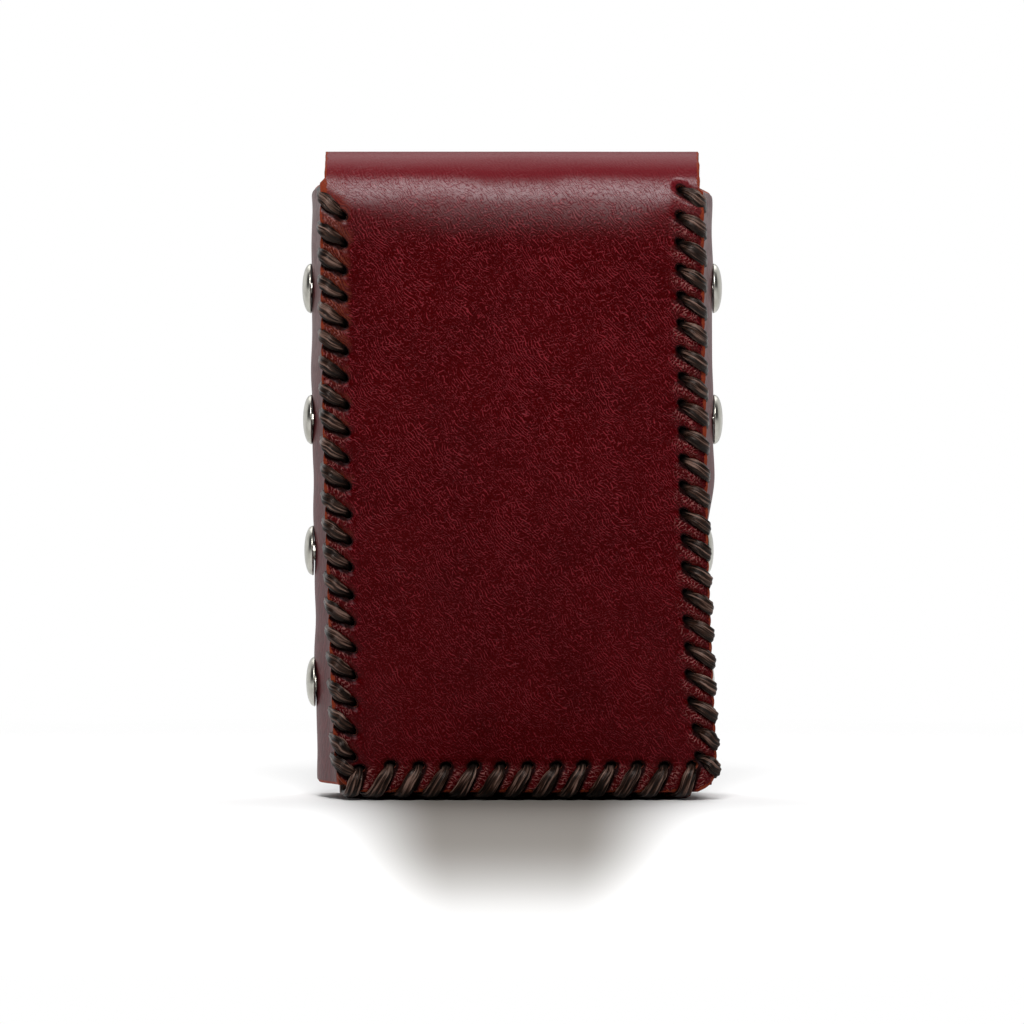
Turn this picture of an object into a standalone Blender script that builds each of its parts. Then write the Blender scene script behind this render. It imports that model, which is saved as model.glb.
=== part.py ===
"""A hand-laced leather case for a packet of cigarettes.

The case stands on its base: X is its width, Y its depth and Z its height. The back
panel faces -Y and runs on over the top as the flap, which closes over the front panel
at +Y with a press stud. Two bulged side gussets and a base gusset join the panels.
One flat lace for each panel is whip-stitched through slits in the panel and the
gussets, and four double-capped rivets run down the middle of each side gusset.

All lengths are in metres.
"""

import math
from collections import namedtuple

import bmesh
import bpy
from mathutils import Matrix, Vector

# The case as a whole
CASE_HEIGHT = 0.1034
BODY_DEPTH = 0.0294
SEAT_GAP = 0.0003
CUT_OVERRUN = 0.0010

# The panels: the back runs into the flap, the front ends in a straight edge
PANEL_THICKNESS = 0.0018
PANEL_WIDTH = 0.0608
PANEL_CORNER_RADIUS = 0.0045
FRONT_PANEL_DROP = 0.0124

# The flap
FLAP_WIDTH = 0.0594
FLAP_FOOT = 0.0560
FLAP_CORNER_RADIUS = 0.0110
FOLD_RADIUS = 0.0070
SHOULDER_HEIGHT = 0.0008
FOLD_STEPS = 3
CORNER_STEPS = 4
FLAP_CORNER_STEPS = 6

# The gussets
GUSSET_THICKNESS = 0.0016
GUSSET_EDGE_INSET = 0.0002
GUSSET_BULGE = 0.0022
GUSSET_FOOT = 0.0024
GUSSET_DROP_AT_BACK = 0.0060
GUSSET_DROP_AT_FRONT = 0.0109
GUSSET_STATION_SHARES = (1.0, 0.65, 0.40, 0.18)

# The base: its flat middle hangs below the panels' edges and is what the case stands on
BASE_DROP = 0.0013
BASE_SHOULDER_SHARE = 0.67
BASE_FLAT_SHARE = 0.51

# The lace and its slits
LACE_WIDTH = 0.0022
LACE_THICKNESS = 0.0009
SLIT_INSET = 0.0040
GUSSET_SLIT_INSET = 0.0030
SIDE_PITCH = 0.0043
FOOT_PITCH = 0.00436
FIRST_SIDE_SLIT = 0.0097
ADVANCE_SHARE = 0.80
LOW_EDGE_SHARE = 0.36
HIGH_EDGE_SHARE = 0.48
CORNER_LEAN_SHARE = 0.40
LACE_EDGE_EASE = 0.0001
INNER_CORNER_INSET = 0.00235
INNER_CORNER_DEPTH = 0.0027
LARGEST_MITRE = 1.5

# The rivets
RIVET_COUNT = 4
LOWEST_RIVET = 0.0185
TOP_RIVET_DROP = 0.0216
RIVET_CAP_RADIUS = 0.0040
RIVET_CAP_HEIGHT = 0.0015
RIVET_POST_RADIUS = 0.0009
RIVET_TUBE_WALL = 0.0004
RIVET_BASE_RADIUS = 0.0034
RIVET_BASE_HEIGHT = 0.0009
RIVET_SIDES = 12

# The press stud
SNAP_HEIGHT = 0.0700
SNAP_CAP_RADIUS = 0.0062
SNAP_CAP_HEIGHT = 0.0016
SNAP_POST_RADIUS = 0.0012
SOCKET_RADIUS = 0.0052
SOCKET_THICKNESS = 0.0016
SOCKET_MOUTH_RADIUS = 0.0027
SOCKET_MOUTH_DEPTH = 0.0012
STUD_FLANGE_RADIUS = 0.0046
STUD_FLANGE_THICKNESS = 0.0005
STUD_KNOB_RADIUS = 0.0020
STUD_KNOB_HEIGHT = 0.0013
STUD_KNOB_EASE = 0.0004
SNAP_SIDES = 16

# The outline of a domed cap and of a flanged base, as shares of radius and of height
DOME_SHARES = ((0.0, 1.0), (0.45, 0.90), (0.80, 0.60), (0.97, 0.24), (1.0, 0.0))
RIM_EASE_SHARE = 0.35

# Angles
MID_FOLD_ANGLE = math.radians(45)
SMOOTH_ANGLE = math.radians(45)

# Places worked out from the sizes above
PANEL_FOOT = BASE_DROP
FRONT_PANEL_TOP = CASE_HEIGHT - FRONT_PANEL_DROP
GUSSET_TOP_AT_BACK = CASE_HEIGHT - GUSSET_DROP_AT_BACK
GUSSET_TOP_AT_FRONT = CASE_HEIGHT - GUSSET_DROP_AT_FRONT
RIVET_PITCH = (CASE_HEIGHT - TOP_RIVET_DROP - LOWEST_RIVET) / (RIVET_COUNT - 1)
BACK_FACE = -BODY_DEPTH / 2
GUSSET_HALF_DEPTH = BODY_DEPTH / 2 - PANEL_THICKNESS - SEAT_GAP
GUSSET_EDGE_X = PANEL_WIDTH / 2 - GUSSET_EDGE_INSET
BASE_HALF_LENGTH = GUSSET_EDGE_X - GUSSET_THICKNESS - SEAT_GAP
SLIT_X = PANEL_WIDTH / 2 - SLIT_INSET
SLIT_Z = PANEL_FOOT + SLIT_INSET
CORNER_X = PANEL_WIDTH / 2 - PANEL_CORNER_RADIUS
CORNER_Z = PANEL_FOOT + PANEL_CORNER_RADIUS
LACE_LIFT = SEAT_GAP + LACE_THICKNESS / 2
SLIT_LENGTH = LACE_WIDTH + 2 * SEAT_GAP
SLIT_WIDTH = LACE_THICKNESS + 2 * SEAT_GAP
SIDE_ADVANCE = SIDE_PITCH * ADVANCE_SHARE
FOOT_ADVANCE = FOOT_PITCH * ADVANCE_SHARE
FOOT_STITCHES = int(2 * CORNER_X / FOOT_PITCH)
FOLD_Z = CASE_HEIGHT - FOLD_RADIUS
BACK_FOLD_Y = BACK_FACE + FOLD_RADIUS
FLAP_STANDOFF = 3 * SEAT_GAP + STUD_FLANGE_THICKNESS + SOCKET_THICKNESS
FLAP_INNER = BODY_DEPTH / 2 + FLAP_STANDOFF
FLAP_FACE = FLAP_INNER + PANEL_THICKNESS
FRONT_FOLD_Y = FLAP_FACE - FOLD_RADIUS
FOLD_GAP_ANGLE = SEAT_GAP / 2 / FOLD_RADIUS
MID_FOLD_OUT = FOLD_RADIUS * math.cos(MID_FOLD_ANGLE)
MID_FOLD_UP = FOLD_RADIUS * math.sin(MID_FOLD_ANGLE)
LIFT_AXIS = Vector((0, BACK_FOLD_Y - MID_FOLD_OUT, FOLD_Z + MID_FOLD_UP))
BEND_AXIS = Vector((0, FRONT_FOLD_Y + MID_FOLD_OUT, FOLD_Z + MID_FOLD_UP))
BACK_REACH = BODY_DEPTH / 2 + SEAT_GAP + LACE_THICKNESS
FRONT_REACH = FLAP_FACE + SEAT_GAP + SNAP_CAP_HEIGHT
CENTRING_SHIFT = Vector((0, (BACK_REACH - FRONT_REACH) / 2, 0))

INTO_CASE = Vector((0, 1, 0))
UP = Vector((0, 0, 1))
RIGHT = Vector((1, 0, 0))

# A slit on the panel: its middle, the way the lace travels past it and the way to the edge
Slit = namedtuple("Slit", "middle along outward")
# A slit on a gusset: its middle, the gusset's outward normal, the way of travel, the way to the edge
GussetSlit = namedtuple("GussetSlit", "middle normal along outward thickness")
Stitch = namedtuple("Stitch", "gusset panel edge_low edge_high")
Pivot = namedtuple("Pivot", "empty point")


def clear_scene():
    for old in list(bpy.data.objects):
        bpy.data.objects.remove(old)


def finish(name, colour, roughness, metallic=0.0):
    made = bpy.data.materials.new(name)
    made.use_nodes = True
    shader = made.node_tree.nodes["Principled BSDF"]
    shader.inputs["Base Color"].default_value = (*colour, 1.0)
    shader.inputs["Roughness"].default_value = roughness
    shader.inputs["Metallic"].default_value = metallic
    made.diffuse_color = (*colour, 1.0)
    return made


def pivot(name, point, parent=None):
    """An empty on a joint's axis, which carries the pieces that turn about it."""
    empty = bpy.data.objects.new(name, None)
    bpy.context.scene.collection.objects.link(empty)
    if parent:
        empty.parent = parent.empty
        empty.location = point - parent.point
    else:
        empty.location = point + CENTRING_SHIFT
    return Pivot(empty, point)


def add_object(name, shape, carrier, material=None):
    """Turns a bmesh in case coordinates into an object that hangs on a pivot."""
    bmesh.ops.recalc_face_normals(shape, faces=shape.faces)
    shape.transform(Matrix.Translation(-carrier.point))
    mesh = bpy.data.meshes.new(name)
    shape.to_mesh(mesh)
    shape.free()
    if material:
        mesh.materials.append(material)
    made = bpy.data.objects.new(name, mesh)
    made.parent = carrier.empty
    bpy.context.scene.collection.objects.link(made)
    return made


def bridged(rings):
    """A closed solid: rings of four corners joined one after another, with both ends capped."""
    shape = bmesh.new()
    corners = [[shape.verts.new(point) for point in ring] for ring in rings]
    for ring, following in zip(corners, corners[1:]):
        for side in range(len(ring)):
            beside = (side + 1) % len(ring)
            shape.faces.new((ring[side], ring[beside], following[beside], following[side]))
    shape.faces.new(corners[0])
    shape.faces.new(corners[-1])
    return shape


def turned(profile, sides, foot, direction, is_ring=False):
    """A closed turned solid.

    The profile of (radius, height) pairs runs from axis to axis, or right round for a ring.
    """
    shape = bmesh.new()
    rings = []
    for radius, height in profile:
        if radius == 0:
            rings.append([shape.verts.new((0, 0, height))])
            continue
        angles = [2 * math.pi * side / sides for side in range(sides)]
        rings.append([shape.verts.new((radius * math.cos(a), radius * math.sin(a), height)) for a in angles])
    last = rings[:1] if is_ring else []
    for ring, following in zip(rings, rings[1:] + last):
        for side in range(sides):
            beside = (side + 1) % sides
            if len(ring) == 1:
                shape.faces.new((ring[0], following[side], following[beside]))
            elif len(following) == 1:
                shape.faces.new((ring[side], ring[beside], following[0]))
            else:
                shape.faces.new((ring[side], ring[beside], following[beside], following[side]))
    turn = direction.to_track_quat("Z", "Y").to_matrix().to_4x4()
    shape.transform(Matrix.Translation(foot) @ turn)
    return shape


def add_turned(name, profile, sides, foot, direction, carrier, material, is_ring=False):
    made = add_object(name, turned(profile, sides, foot, direction, is_ring), carrier, material)
    made.data.shade_smooth()
    made.data.set_sharp_from_angle(angle=SMOOTH_ANGLE)
    return made


def add_block(shape, middle, half_edges):
    """Adds one closed box to the shape, from its middle and three half edges."""
    first, second, third = half_edges
    faces = []
    for lift in (-third, third):
        corners = (-first - second, first - second, first + second, second - first)
        faces.append([shape.verts.new(middle + corner + lift) for corner in corners])
    low, high = faces
    shape.faces.new(low[::-1])
    shape.faces.new(high)
    for side in range(4):
        beside = (side + 1) % 4
        shape.faces.new((low[side], low[beside], high[beside], high[side]))


def add_slit_cutter(shape, slit, through, thickness):
    across = through.cross(slit.along).normalized()
    reach = thickness / 2 + CUT_OVERRUN
    half_edges = (slit.along * SLIT_LENGTH / 2, across * SLIT_WIDTH / 2, through * reach)
    add_block(shape, slit.middle, half_edges)


def add_round_cutter(shape, middle, through, radius, thickness):
    """Adds a round cutter to the shape, centred on the middle of the wall that it cuts."""
    reach = thickness / 2 + CUT_OVERRUN
    profile = ((0, 2 * reach), (radius, 2 * reach), (radius, 0), (0, 0))
    rod = turned(profile, RIVET_SIDES, middle - through * reach, through)
    mesh = bpy.data.meshes.new("rod")
    rod.to_mesh(mesh)
    rod.free()
    shape.from_mesh(mesh)
    bpy.data.meshes.remove(mesh)


def cut(target, cutter_shape, carrier):
    cutter = add_object(target.name + "_cutter", cutter_shape, carrier)
    cutter.hide_render = True
    cutter.display_type = "WIRE"
    boolean = target.modifiers.new("Cut", "BOOLEAN")
    boolean.operation = "DIFFERENCE"
    boolean.solver = "EXACT"
    boolean.object = cutter


def sheet_ring(point, normal, half_width):
    """The four corners of a leather sheet at one place on its outer face."""
    inner = point - normal * PANEL_THICKNESS
    side = RIGHT * half_width
    return (point - side, point + side, inner + side, inner - side)


def fold_ring(fold_y, facing, angle, half_width):
    """One ring round a fold; facing is -1 at the back and 1 at the front."""
    normal = Vector((0, facing * math.cos(angle), math.sin(angle)))
    return sheet_ring(Vector((0, fold_y, FOLD_Z)) + normal * FOLD_RADIUS, normal, half_width)


def rounded_foot(face_y, facing, foot, width, radius, steps):
    """The rings of a sheet's lower end, whose two corners are rounded."""
    rings = []
    for step in range(steps + 1):
        angle = math.radians(90) * step / steps
        half_width = width / 2 - radius + radius * math.sin(angle)
        height = foot + radius - radius * math.cos(angle)
        rings.append(sheet_ring(Vector((0, face_y, height)), Vector((0, facing, 0)), half_width))
    return rings


def back_panel_shape():
    """The flat back, the shoulders where it narrows to the flap, and half of the fold."""
    rings = rounded_foot(BACK_FACE, -1, PANEL_FOOT, PANEL_WIDTH, PANEL_CORNER_RADIUS, CORNER_STEPS)
    outward = Vector((0, -1, 0))
    rings.append(sheet_ring(Vector((0, BACK_FACE, FOLD_Z - SHOULDER_HEIGHT)), outward, PANEL_WIDTH / 2))
    for step in range(FOLD_STEPS + 1):
        angle = (MID_FOLD_ANGLE - FOLD_GAP_ANGLE) * step / FOLD_STEPS
        rings.append(fold_ring(BACK_FOLD_Y, -1, angle, FLAP_WIDTH / 2))
    return bridged(rings)


def flap_top_shape():
    """From the middle of the back fold, over the top, to the middle of the front fold."""
    quarter = math.radians(90)
    start = MID_FOLD_ANGLE + FOLD_GAP_ANGLE
    angles = [start + (quarter - start) * step / FOLD_STEPS for step in range(FOLD_STEPS + 1)]
    rings = [fold_ring(BACK_FOLD_Y, -1, angle, FLAP_WIDTH / 2) for angle in angles]
    rings += [fold_ring(FRONT_FOLD_Y, 1, angle, FLAP_WIDTH / 2) for angle in reversed(angles)]
    return bridged(rings)


def flap_front_shape():
    """The drop over the front, from the middle of the front fold to its rounded end."""
    rings = rounded_foot(FLAP_FACE, 1, FLAP_FOOT, FLAP_WIDTH, FLAP_CORNER_RADIUS, FLAP_CORNER_STEPS)
    for step in range(FOLD_STEPS + 1):
        angle = (MID_FOLD_ANGLE - FOLD_GAP_ANGLE) * step / FOLD_STEPS
        rings.append(fold_ring(FRONT_FOLD_Y, 1, angle, FLAP_WIDTH / 2))
    return bridged(rings)


def front_panel_shape():
    rings = rounded_foot(-BACK_FACE, 1, PANEL_FOOT, PANEL_WIDTH, PANEL_CORNER_RADIUS, CORNER_STEPS)
    rings.append(sheet_ring(Vector((0, -BACK_FACE, FRONT_PANEL_TOP)), Vector((0, 1, 0)), PANEL_WIDTH / 2))
    return bridged(rings)


def bulged_x(depth):
    """How far a side gusset's outer face stands from the middle of the case, at a depth."""
    share = depth / GUSSET_HALF_DEPTH
    return GUSSET_EDGE_X + GUSSET_BULGE * (1 - share * share)


def gusset_stations():
    half = [share * GUSSET_HALF_DEPTH for share in GUSSET_STATION_SHARES]
    return [-depth for depth in half] + half[::-1]


def gusset_normals():
    """The outward normal of each facet of a right-hand gusset, in the order of its stations."""
    stations = gusset_stations()
    normals = []
    for near, far in zip(stations, stations[1:]):
        run = Vector((bulged_x(far) - bulged_x(near), far - near, 0))
        normals.append(run.cross(UP).normalized())
    return normals


def gusset_top(depth):
    """The height of a side gusset's sloping upper end, at a depth."""
    share = (depth + GUSSET_HALF_DEPTH) / (2 * GUSSET_HALF_DEPTH)
    return GUSSET_TOP_AT_BACK + (GUSSET_TOP_AT_FRONT - GUSSET_TOP_AT_BACK) * share


def side_gusset_shape(side):
    """A bulged strip, with its upper end cut on a slope from the back to the front."""
    stations = gusset_stations()
    normals = gusset_normals()
    rings = []
    for index, depth in enumerate(stations):
        beside = [normals[place] for place in (index - 1, index) if 0 <= place < len(normals)]
        normal = sum(beside, Vector()).normalized()
        mitre = 1 / normal.dot(beside[0])
        outer = Vector((bulged_x(depth), depth, 0))
        if len(beside) == 1:
            normal = RIGHT
            mitre = 1 / normal.dot(beside[0])
        inner = outer - normal * GUSSET_THICKNESS * mitre
        top = gusset_top(depth)
        ring = [outer + UP * GUSSET_FOOT, outer + UP * top, inner + UP * top, inner + UP * GUSSET_FOOT]
        rings.append([Vector((side * point.x, point.y, point.z)) for point in ring])
    return bridged(rings)


def base_shape():
    """The base strip: level shoulders for the lace, and a flat middle set down to the floor."""
    shoulder = GUSSET_HALF_DEPTH * BASE_SHOULDER_SHARE
    flat = GUSSET_HALF_DEPTH * BASE_FLAT_SHARE
    right_half = ((flat, 0), (shoulder, BASE_DROP), (GUSSET_HALF_DEPTH, BASE_DROP))
    outline = [(-depth, height) for depth, height in reversed(right_half)] + list(right_half)
    end = RIGHT * BASE_HALF_LENGTH
    wall = UP * GUSSET_THICKNESS
    rings = []
    for depth, height in outline:
        outer = Vector((0, depth, height))
        rings.append((outer - end, outer + end, outer + end + wall, outer - end + wall))
    return bridged(rings)


def side_gusset_slit(side, height, upward):
    """A slit near the back edge of a side gusset, through the middle of its first facet."""
    depth = -GUSSET_HALF_DEPTH + GUSSET_SLIT_INSET
    stations = gusset_stations()
    share = (depth - stations[0]) / (stations[1] - stations[0])
    outer_x = bulged_x(stations[0]) + (bulged_x(stations[1]) - bulged_x(stations[0])) * share
    normal = gusset_normals()[0]
    normal = Vector((side * normal.x, normal.y, 0))
    middle = Vector((side * outer_x, depth, height)) - normal * GUSSET_THICKNESS / 2
    return GussetSlit(middle, normal, UP * upward, RIGHT * side, GUSSET_THICKNESS)


def base_slit(x):
    depth = -GUSSET_HALF_DEPTH + GUSSET_SLIT_INSET
    middle = Vector((x, depth, BASE_DROP + GUSSET_THICKNESS / 2))
    return GussetSlit(middle, -UP, RIGHT, -UP, GUSSET_THICKNESS)


def panel_slit(x, z, along, outward):
    return Slit(Vector((x, BACK_FACE + PANEL_THICKNESS / 2, z)), along.normalized(), outward.normalized())


def straight_stitch(gusset, panel, advance):
    """A stitch that climbs out of the gusset, crosses a straight edge and enters the panel."""
    edge = panel.middle + panel.outward * SLIT_INSET
    edge_low = edge - panel.along * advance * (1 - LOW_EDGE_SHARE)
    edge_high = edge - panel.along * advance * (1 - HIGH_EDGE_SHARE)
    low = over_edge_low(edge_low, panel.outward)
    high = over_edge_high(edge_high, panel.outward)
    return Stitch(gusset, panel, low, high)


def corner_stitch(gusset, panel):
    """A stitch that crosses the rounded corner of the panel on the way to the corner's slit."""
    outward = (panel.outward * CORNER_LEAN_SHARE + gusset.outward).normalized()
    edge = panel.middle + outward * PANEL_CORNER_RADIUS
    return Stitch(gusset, panel, over_edge_low(edge, outward), over_edge_high(edge, outward))


def over_edge_low(edge, outward):
    point = edge + outward * LACE_LIFT
    return Vector((point.x, BACK_FACE - LACE_EDGE_EASE, point.z))


def over_edge_high(edge, outward):
    point = edge + outward * LACE_EDGE_EASE
    return Vector((point.x, BACK_FACE - LACE_LIFT, point.z))


def side_slit_heights(facing):
    """The heights of the slits up one side of a panel, as many as the gusset behind it has room for."""
    slit_depth = facing * (GUSSET_HALF_DEPTH - GUSSET_SLIT_INSET)
    highest = gusset_top(slit_depth) - SLIT_LENGTH / 2 - SEAT_GAP - SIDE_ADVANCE
    count = int((highest - FIRST_SIDE_SLIT) / SIDE_PITCH) + 1
    return [FIRST_SIDE_SLIT + SIDE_PITCH * step for step in range(count)]


def whip_stitches(facing):
    """A panel's stitches in lacing order: down the left, along the foot, up the right.

    Facing is -1 for the back panel and 1 for the front panel. Both are laid out at the
    back, and what belongs to the front is turned round to it afterwards.
    """
    heights = side_slit_heights(facing)
    stitches = []
    for height in reversed(heights):
        gusset = side_gusset_slit(-1, height + SIDE_ADVANCE, -1)
        stitches.append(straight_stitch(gusset, panel_slit(-SLIT_X, height, -UP, -RIGHT), SIDE_ADVANCE))
    gusset = side_gusset_slit(-1, heights[0] - SIDE_PITCH + SIDE_ADVANCE, -1)
    stitches.append(corner_stitch(gusset, panel_slit(-CORNER_X, CORNER_Z, RIGHT - UP, -RIGHT - UP)))
    for step in range(FOOT_STITCHES):
        x = FOOT_PITCH * (step - (FOOT_STITCHES - 1) / 2)
        gusset = base_slit(x - FOOT_ADVANCE)
        stitches.append(straight_stitch(gusset, panel_slit(x, SLIT_Z, RIGHT, -UP), FOOT_ADVANCE))
    gusset = base_slit(FOOT_PITCH * (FOOT_STITCHES - 1) / 2 + FOOT_ADVANCE)
    stitches.append(corner_stitch(gusset, panel_slit(CORNER_X, CORNER_Z, RIGHT + UP, RIGHT - UP)))
    for height in heights:
        gusset = side_gusset_slit(1, height - SIDE_ADVANCE, 1)
        stitches.append(straight_stitch(gusset, panel_slit(SLIT_X, height, UP, RIGHT), SIDE_ADVANCE))
    return stitches


def inner_corner(point, gusset):
    """Where the lace lies in the corner inside the case, level with a point on its way."""
    travel = (point + gusset.middle) / 2
    edge = PANEL_WIDTH / 2 if gusset.outward.z == 0 else -PANEL_FOOT
    place = gusset.outward * (edge - INNER_CORNER_INSET)
    axis = Vector(abs(part) for part in gusset.along)
    place += Vector(part * share for part, share in zip(travel, axis))
    return Vector((place.x, BACK_FACE + INNER_CORNER_DEPTH, place.z))


def lace_route(stitches):
    """The middle line of one lace, as pairs of a point and the way along the edge there."""
    route = []
    start = stitches[0].gusset
    route.append((inner_corner(start.middle - start.along * SIDE_ADVANCE, start), start.along))
    for stitch, following in zip(stitches, stitches[1:] + [None]):
        gusset, panel = stitch.gusset, stitch.panel
        over_gusset = gusset.normal * (gusset.thickness / 2 + LACE_LIFT)
        over_panel = INTO_CASE * (PANEL_THICKNESS / 2 + LACE_LIFT)
        between = (gusset.along + panel.along).normalized()
        route.append((gusset.middle - over_gusset, gusset.along))
        route.append((gusset.middle + over_gusset, gusset.along))
        route.append((stitch.edge_low, gusset.along))
        route.append((stitch.edge_high, between))
        route.append((panel.middle - over_panel, panel.along))
        route.append((panel.middle + over_panel, panel.along))
        if following:
            corner = inner_corner(panel.middle, following.gusset)
            route.append((corner, following.gusset.along))
    last = stitches[-1]
    tail = last.panel.middle + last.panel.along * SIDE_PITCH
    route.append((inner_corner(tail, last.gusset), last.panel.along))
    return route


def square_to(direction, along):
    """The part of a direction that is square to the edge, as a unit vector."""
    return (direction - along * direction.dot(along)).normalized()


def lace_shape(route):
    """A flat lace swept along its route, with its width along the edge and a mitre at each turn."""
    points = [point for point, along in route]
    rings = []
    for index, (point, along) in enumerate(route):
        before = point - points[index - 1] if index else points[1] - point
        after = points[index + 1] - point if index + 1 < len(points) else before
        before, after = square_to(before, along), square_to(after, along)
        heading = (before + after).normalized()
        width = along * LACE_WIDTH / 2
        mitre = min(1 / heading.dot(before), LARGEST_MITRE)
        rise = heading.cross(along) * mitre * LACE_THICKNESS / 2
        rings.append((point - width - rise, point + width - rise, point + width + rise, point - width + rise))
    return bridged(rings)


def add_slits(shape, slits_and_walls, matrix):
    """Adds slit cutters to a shape, after turning them to the panel that they belong to."""
    slits = bmesh.new()
    for slit, through, thickness in slits_and_walls:
        add_slit_cutter(slits, slit, through, thickness)
    slits.transform(matrix)
    mesh = bpy.data.meshes.new("slits")
    slits.to_mesh(mesh)
    slits.free()
    shape.from_mesh(mesh)
    bpy.data.meshes.remove(mesh)


def panel_slits(stitches):
    return [(stitch.panel, INTO_CASE, PANEL_THICKNESS) for stitch in stitches]


def gusset_slits(stitches, outward):
    chosen = [stitch.gusset for stitch in stitches if stitch.gusset.outward.dot(outward) > 0]
    return [(slit, slit.normal, slit.thickness) for slit in chosen]


def cap_profile(radius, height, post_radius, post_length):
    """A domed cap standing on its rim at height zero, with a post that runs down from it."""
    profile = [(radius * across, height * up) for across, up in DOME_SHARES]
    return profile + [(post_radius, 0), (post_radius, -post_length), (0, -post_length)]


def rivet_base_profile(tube_length):
    """The inner half of a rivet: a low flange with a tube for the post. Its tube points up."""
    bore = RIVET_POST_RADIUS + SEAT_GAP
    tube = bore + RIVET_TUBE_WALL
    ease = RIVET_BASE_HEIGHT * RIM_EASE_SHARE
    floor = RIVET_BASE_HEIGHT - RIVET_TUBE_WALL
    return [
        (0, floor),
        (bore, floor),
        (bore, RIVET_BASE_HEIGHT + tube_length),
        (tube, RIVET_BASE_HEIGHT + tube_length),
        (tube, RIVET_BASE_HEIGHT),
        (RIVET_BASE_RADIUS, RIVET_BASE_HEIGHT),
        (RIVET_BASE_RADIUS, ease),
        (RIVET_BASE_RADIUS - ease, 0),
        (0, 0),
    ]


def add_rivets(carrier, metal, side, side_name):
    """The four rivets down one side gusset. Each is a cap with a post and a base with a tube."""
    outward = RIGHT * side
    outer_x = bulged_x(GUSSET_HALF_DEPTH * GUSSET_STATION_SHARES[-1])
    inner_x = outer_x - GUSSET_THICKNESS
    tube_length = GUSSET_THICKNESS + SEAT_GAP
    post_length = SEAT_GAP + GUSSET_THICKNESS
    cap = cap_profile(RIVET_CAP_RADIUS, RIVET_CAP_HEIGHT, RIVET_POST_RADIUS, post_length)
    base = rivet_base_profile(tube_length)
    for number in range(RIVET_COUNT):
        height = UP * (LOWEST_RIVET + RIVET_PITCH * number)
        cap_name = f"{side_name}_rivet_cap_{number + 1}"
        cap_foot = height + outward * (outer_x + SEAT_GAP)
        add_turned(cap_name, cap, RIVET_SIDES, cap_foot, outward, carrier, metal)
        base_name = f"{side_name}_rivet_base_{number + 1}"
        base_foot = height + outward * (inner_x - SEAT_GAP - RIVET_BASE_HEIGHT)
        add_turned(base_name, base, RIVET_SIDES, base_foot, outward, carrier, metal)


def add_rivet_holes(shape, side):
    radius = RIVET_POST_RADIUS + RIVET_TUBE_WALL + 2 * SEAT_GAP
    outer_x = bulged_x(GUSSET_HALF_DEPTH * GUSSET_STATION_SHARES[-1])
    for number in range(RIVET_COUNT):
        middle = RIGHT * side * (outer_x - GUSSET_THICKNESS / 2) + UP * (LOWEST_RIVET + RIVET_PITCH * number)
        add_round_cutter(shape, middle, RIGHT * side, radius, GUSSET_THICKNESS)


def socket_profile():
    """The ring inside the flap: a bore for the cap's post and a wider mouth for the stud."""
    bore = SNAP_POST_RADIUS + SEAT_GAP
    ease = SOCKET_THICKNESS * RIM_EASE_SHARE
    post_end = SOCKET_THICKNESS - SOCKET_MOUTH_DEPTH
    return [
        (bore, SOCKET_THICKNESS),
        (bore, SOCKET_THICKNESS - post_end),
        (SOCKET_MOUTH_RADIUS, SOCKET_MOUTH_DEPTH),
        (SOCKET_MOUTH_RADIUS, 0),
        (SOCKET_RADIUS - ease, 0),
        (SOCKET_RADIUS, ease),
        (SOCKET_RADIUS, SOCKET_THICKNESS),
    ]


def stud_profile():
    """The stud's flange and rounded knob, which is hollow below for the post of its base."""
    bore = SNAP_POST_RADIUS + SEAT_GAP
    top = STUD_FLANGE_THICKNESS + STUD_KNOB_HEIGHT
    neck = STUD_KNOB_RADIUS - STUD_KNOB_EASE / 2
    return [
        (0, top - STUD_FLANGE_THICKNESS),
        (bore, top - STUD_FLANGE_THICKNESS),
        (bore, 0),
        (STUD_FLANGE_RADIUS, 0),
        (STUD_FLANGE_RADIUS, STUD_FLANGE_THICKNESS),
        (neck, STUD_FLANGE_THICKNESS),
        (STUD_KNOB_RADIUS, top - 2 * STUD_KNOB_EASE),
        (STUD_KNOB_RADIUS - STUD_KNOB_EASE, top),
        (0, top),
    ]


def snap_post_profile(post_length):
    """The flange inside the front panel, with the post that runs out into the stud."""
    ease = STUD_FLANGE_THICKNESS * RIM_EASE_SHARE
    return [
        (0, STUD_FLANGE_THICKNESS + post_length),
        (SNAP_POST_RADIUS, STUD_FLANGE_THICKNESS + post_length),
        (SNAP_POST_RADIUS, STUD_FLANGE_THICKNESS),
        (STUD_FLANGE_RADIUS, STUD_FLANGE_THICKNESS),
        (STUD_FLANGE_RADIUS, ease),
        (STUD_FLANGE_RADIUS - ease, 0),
        (0, 0),
    ]


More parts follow.
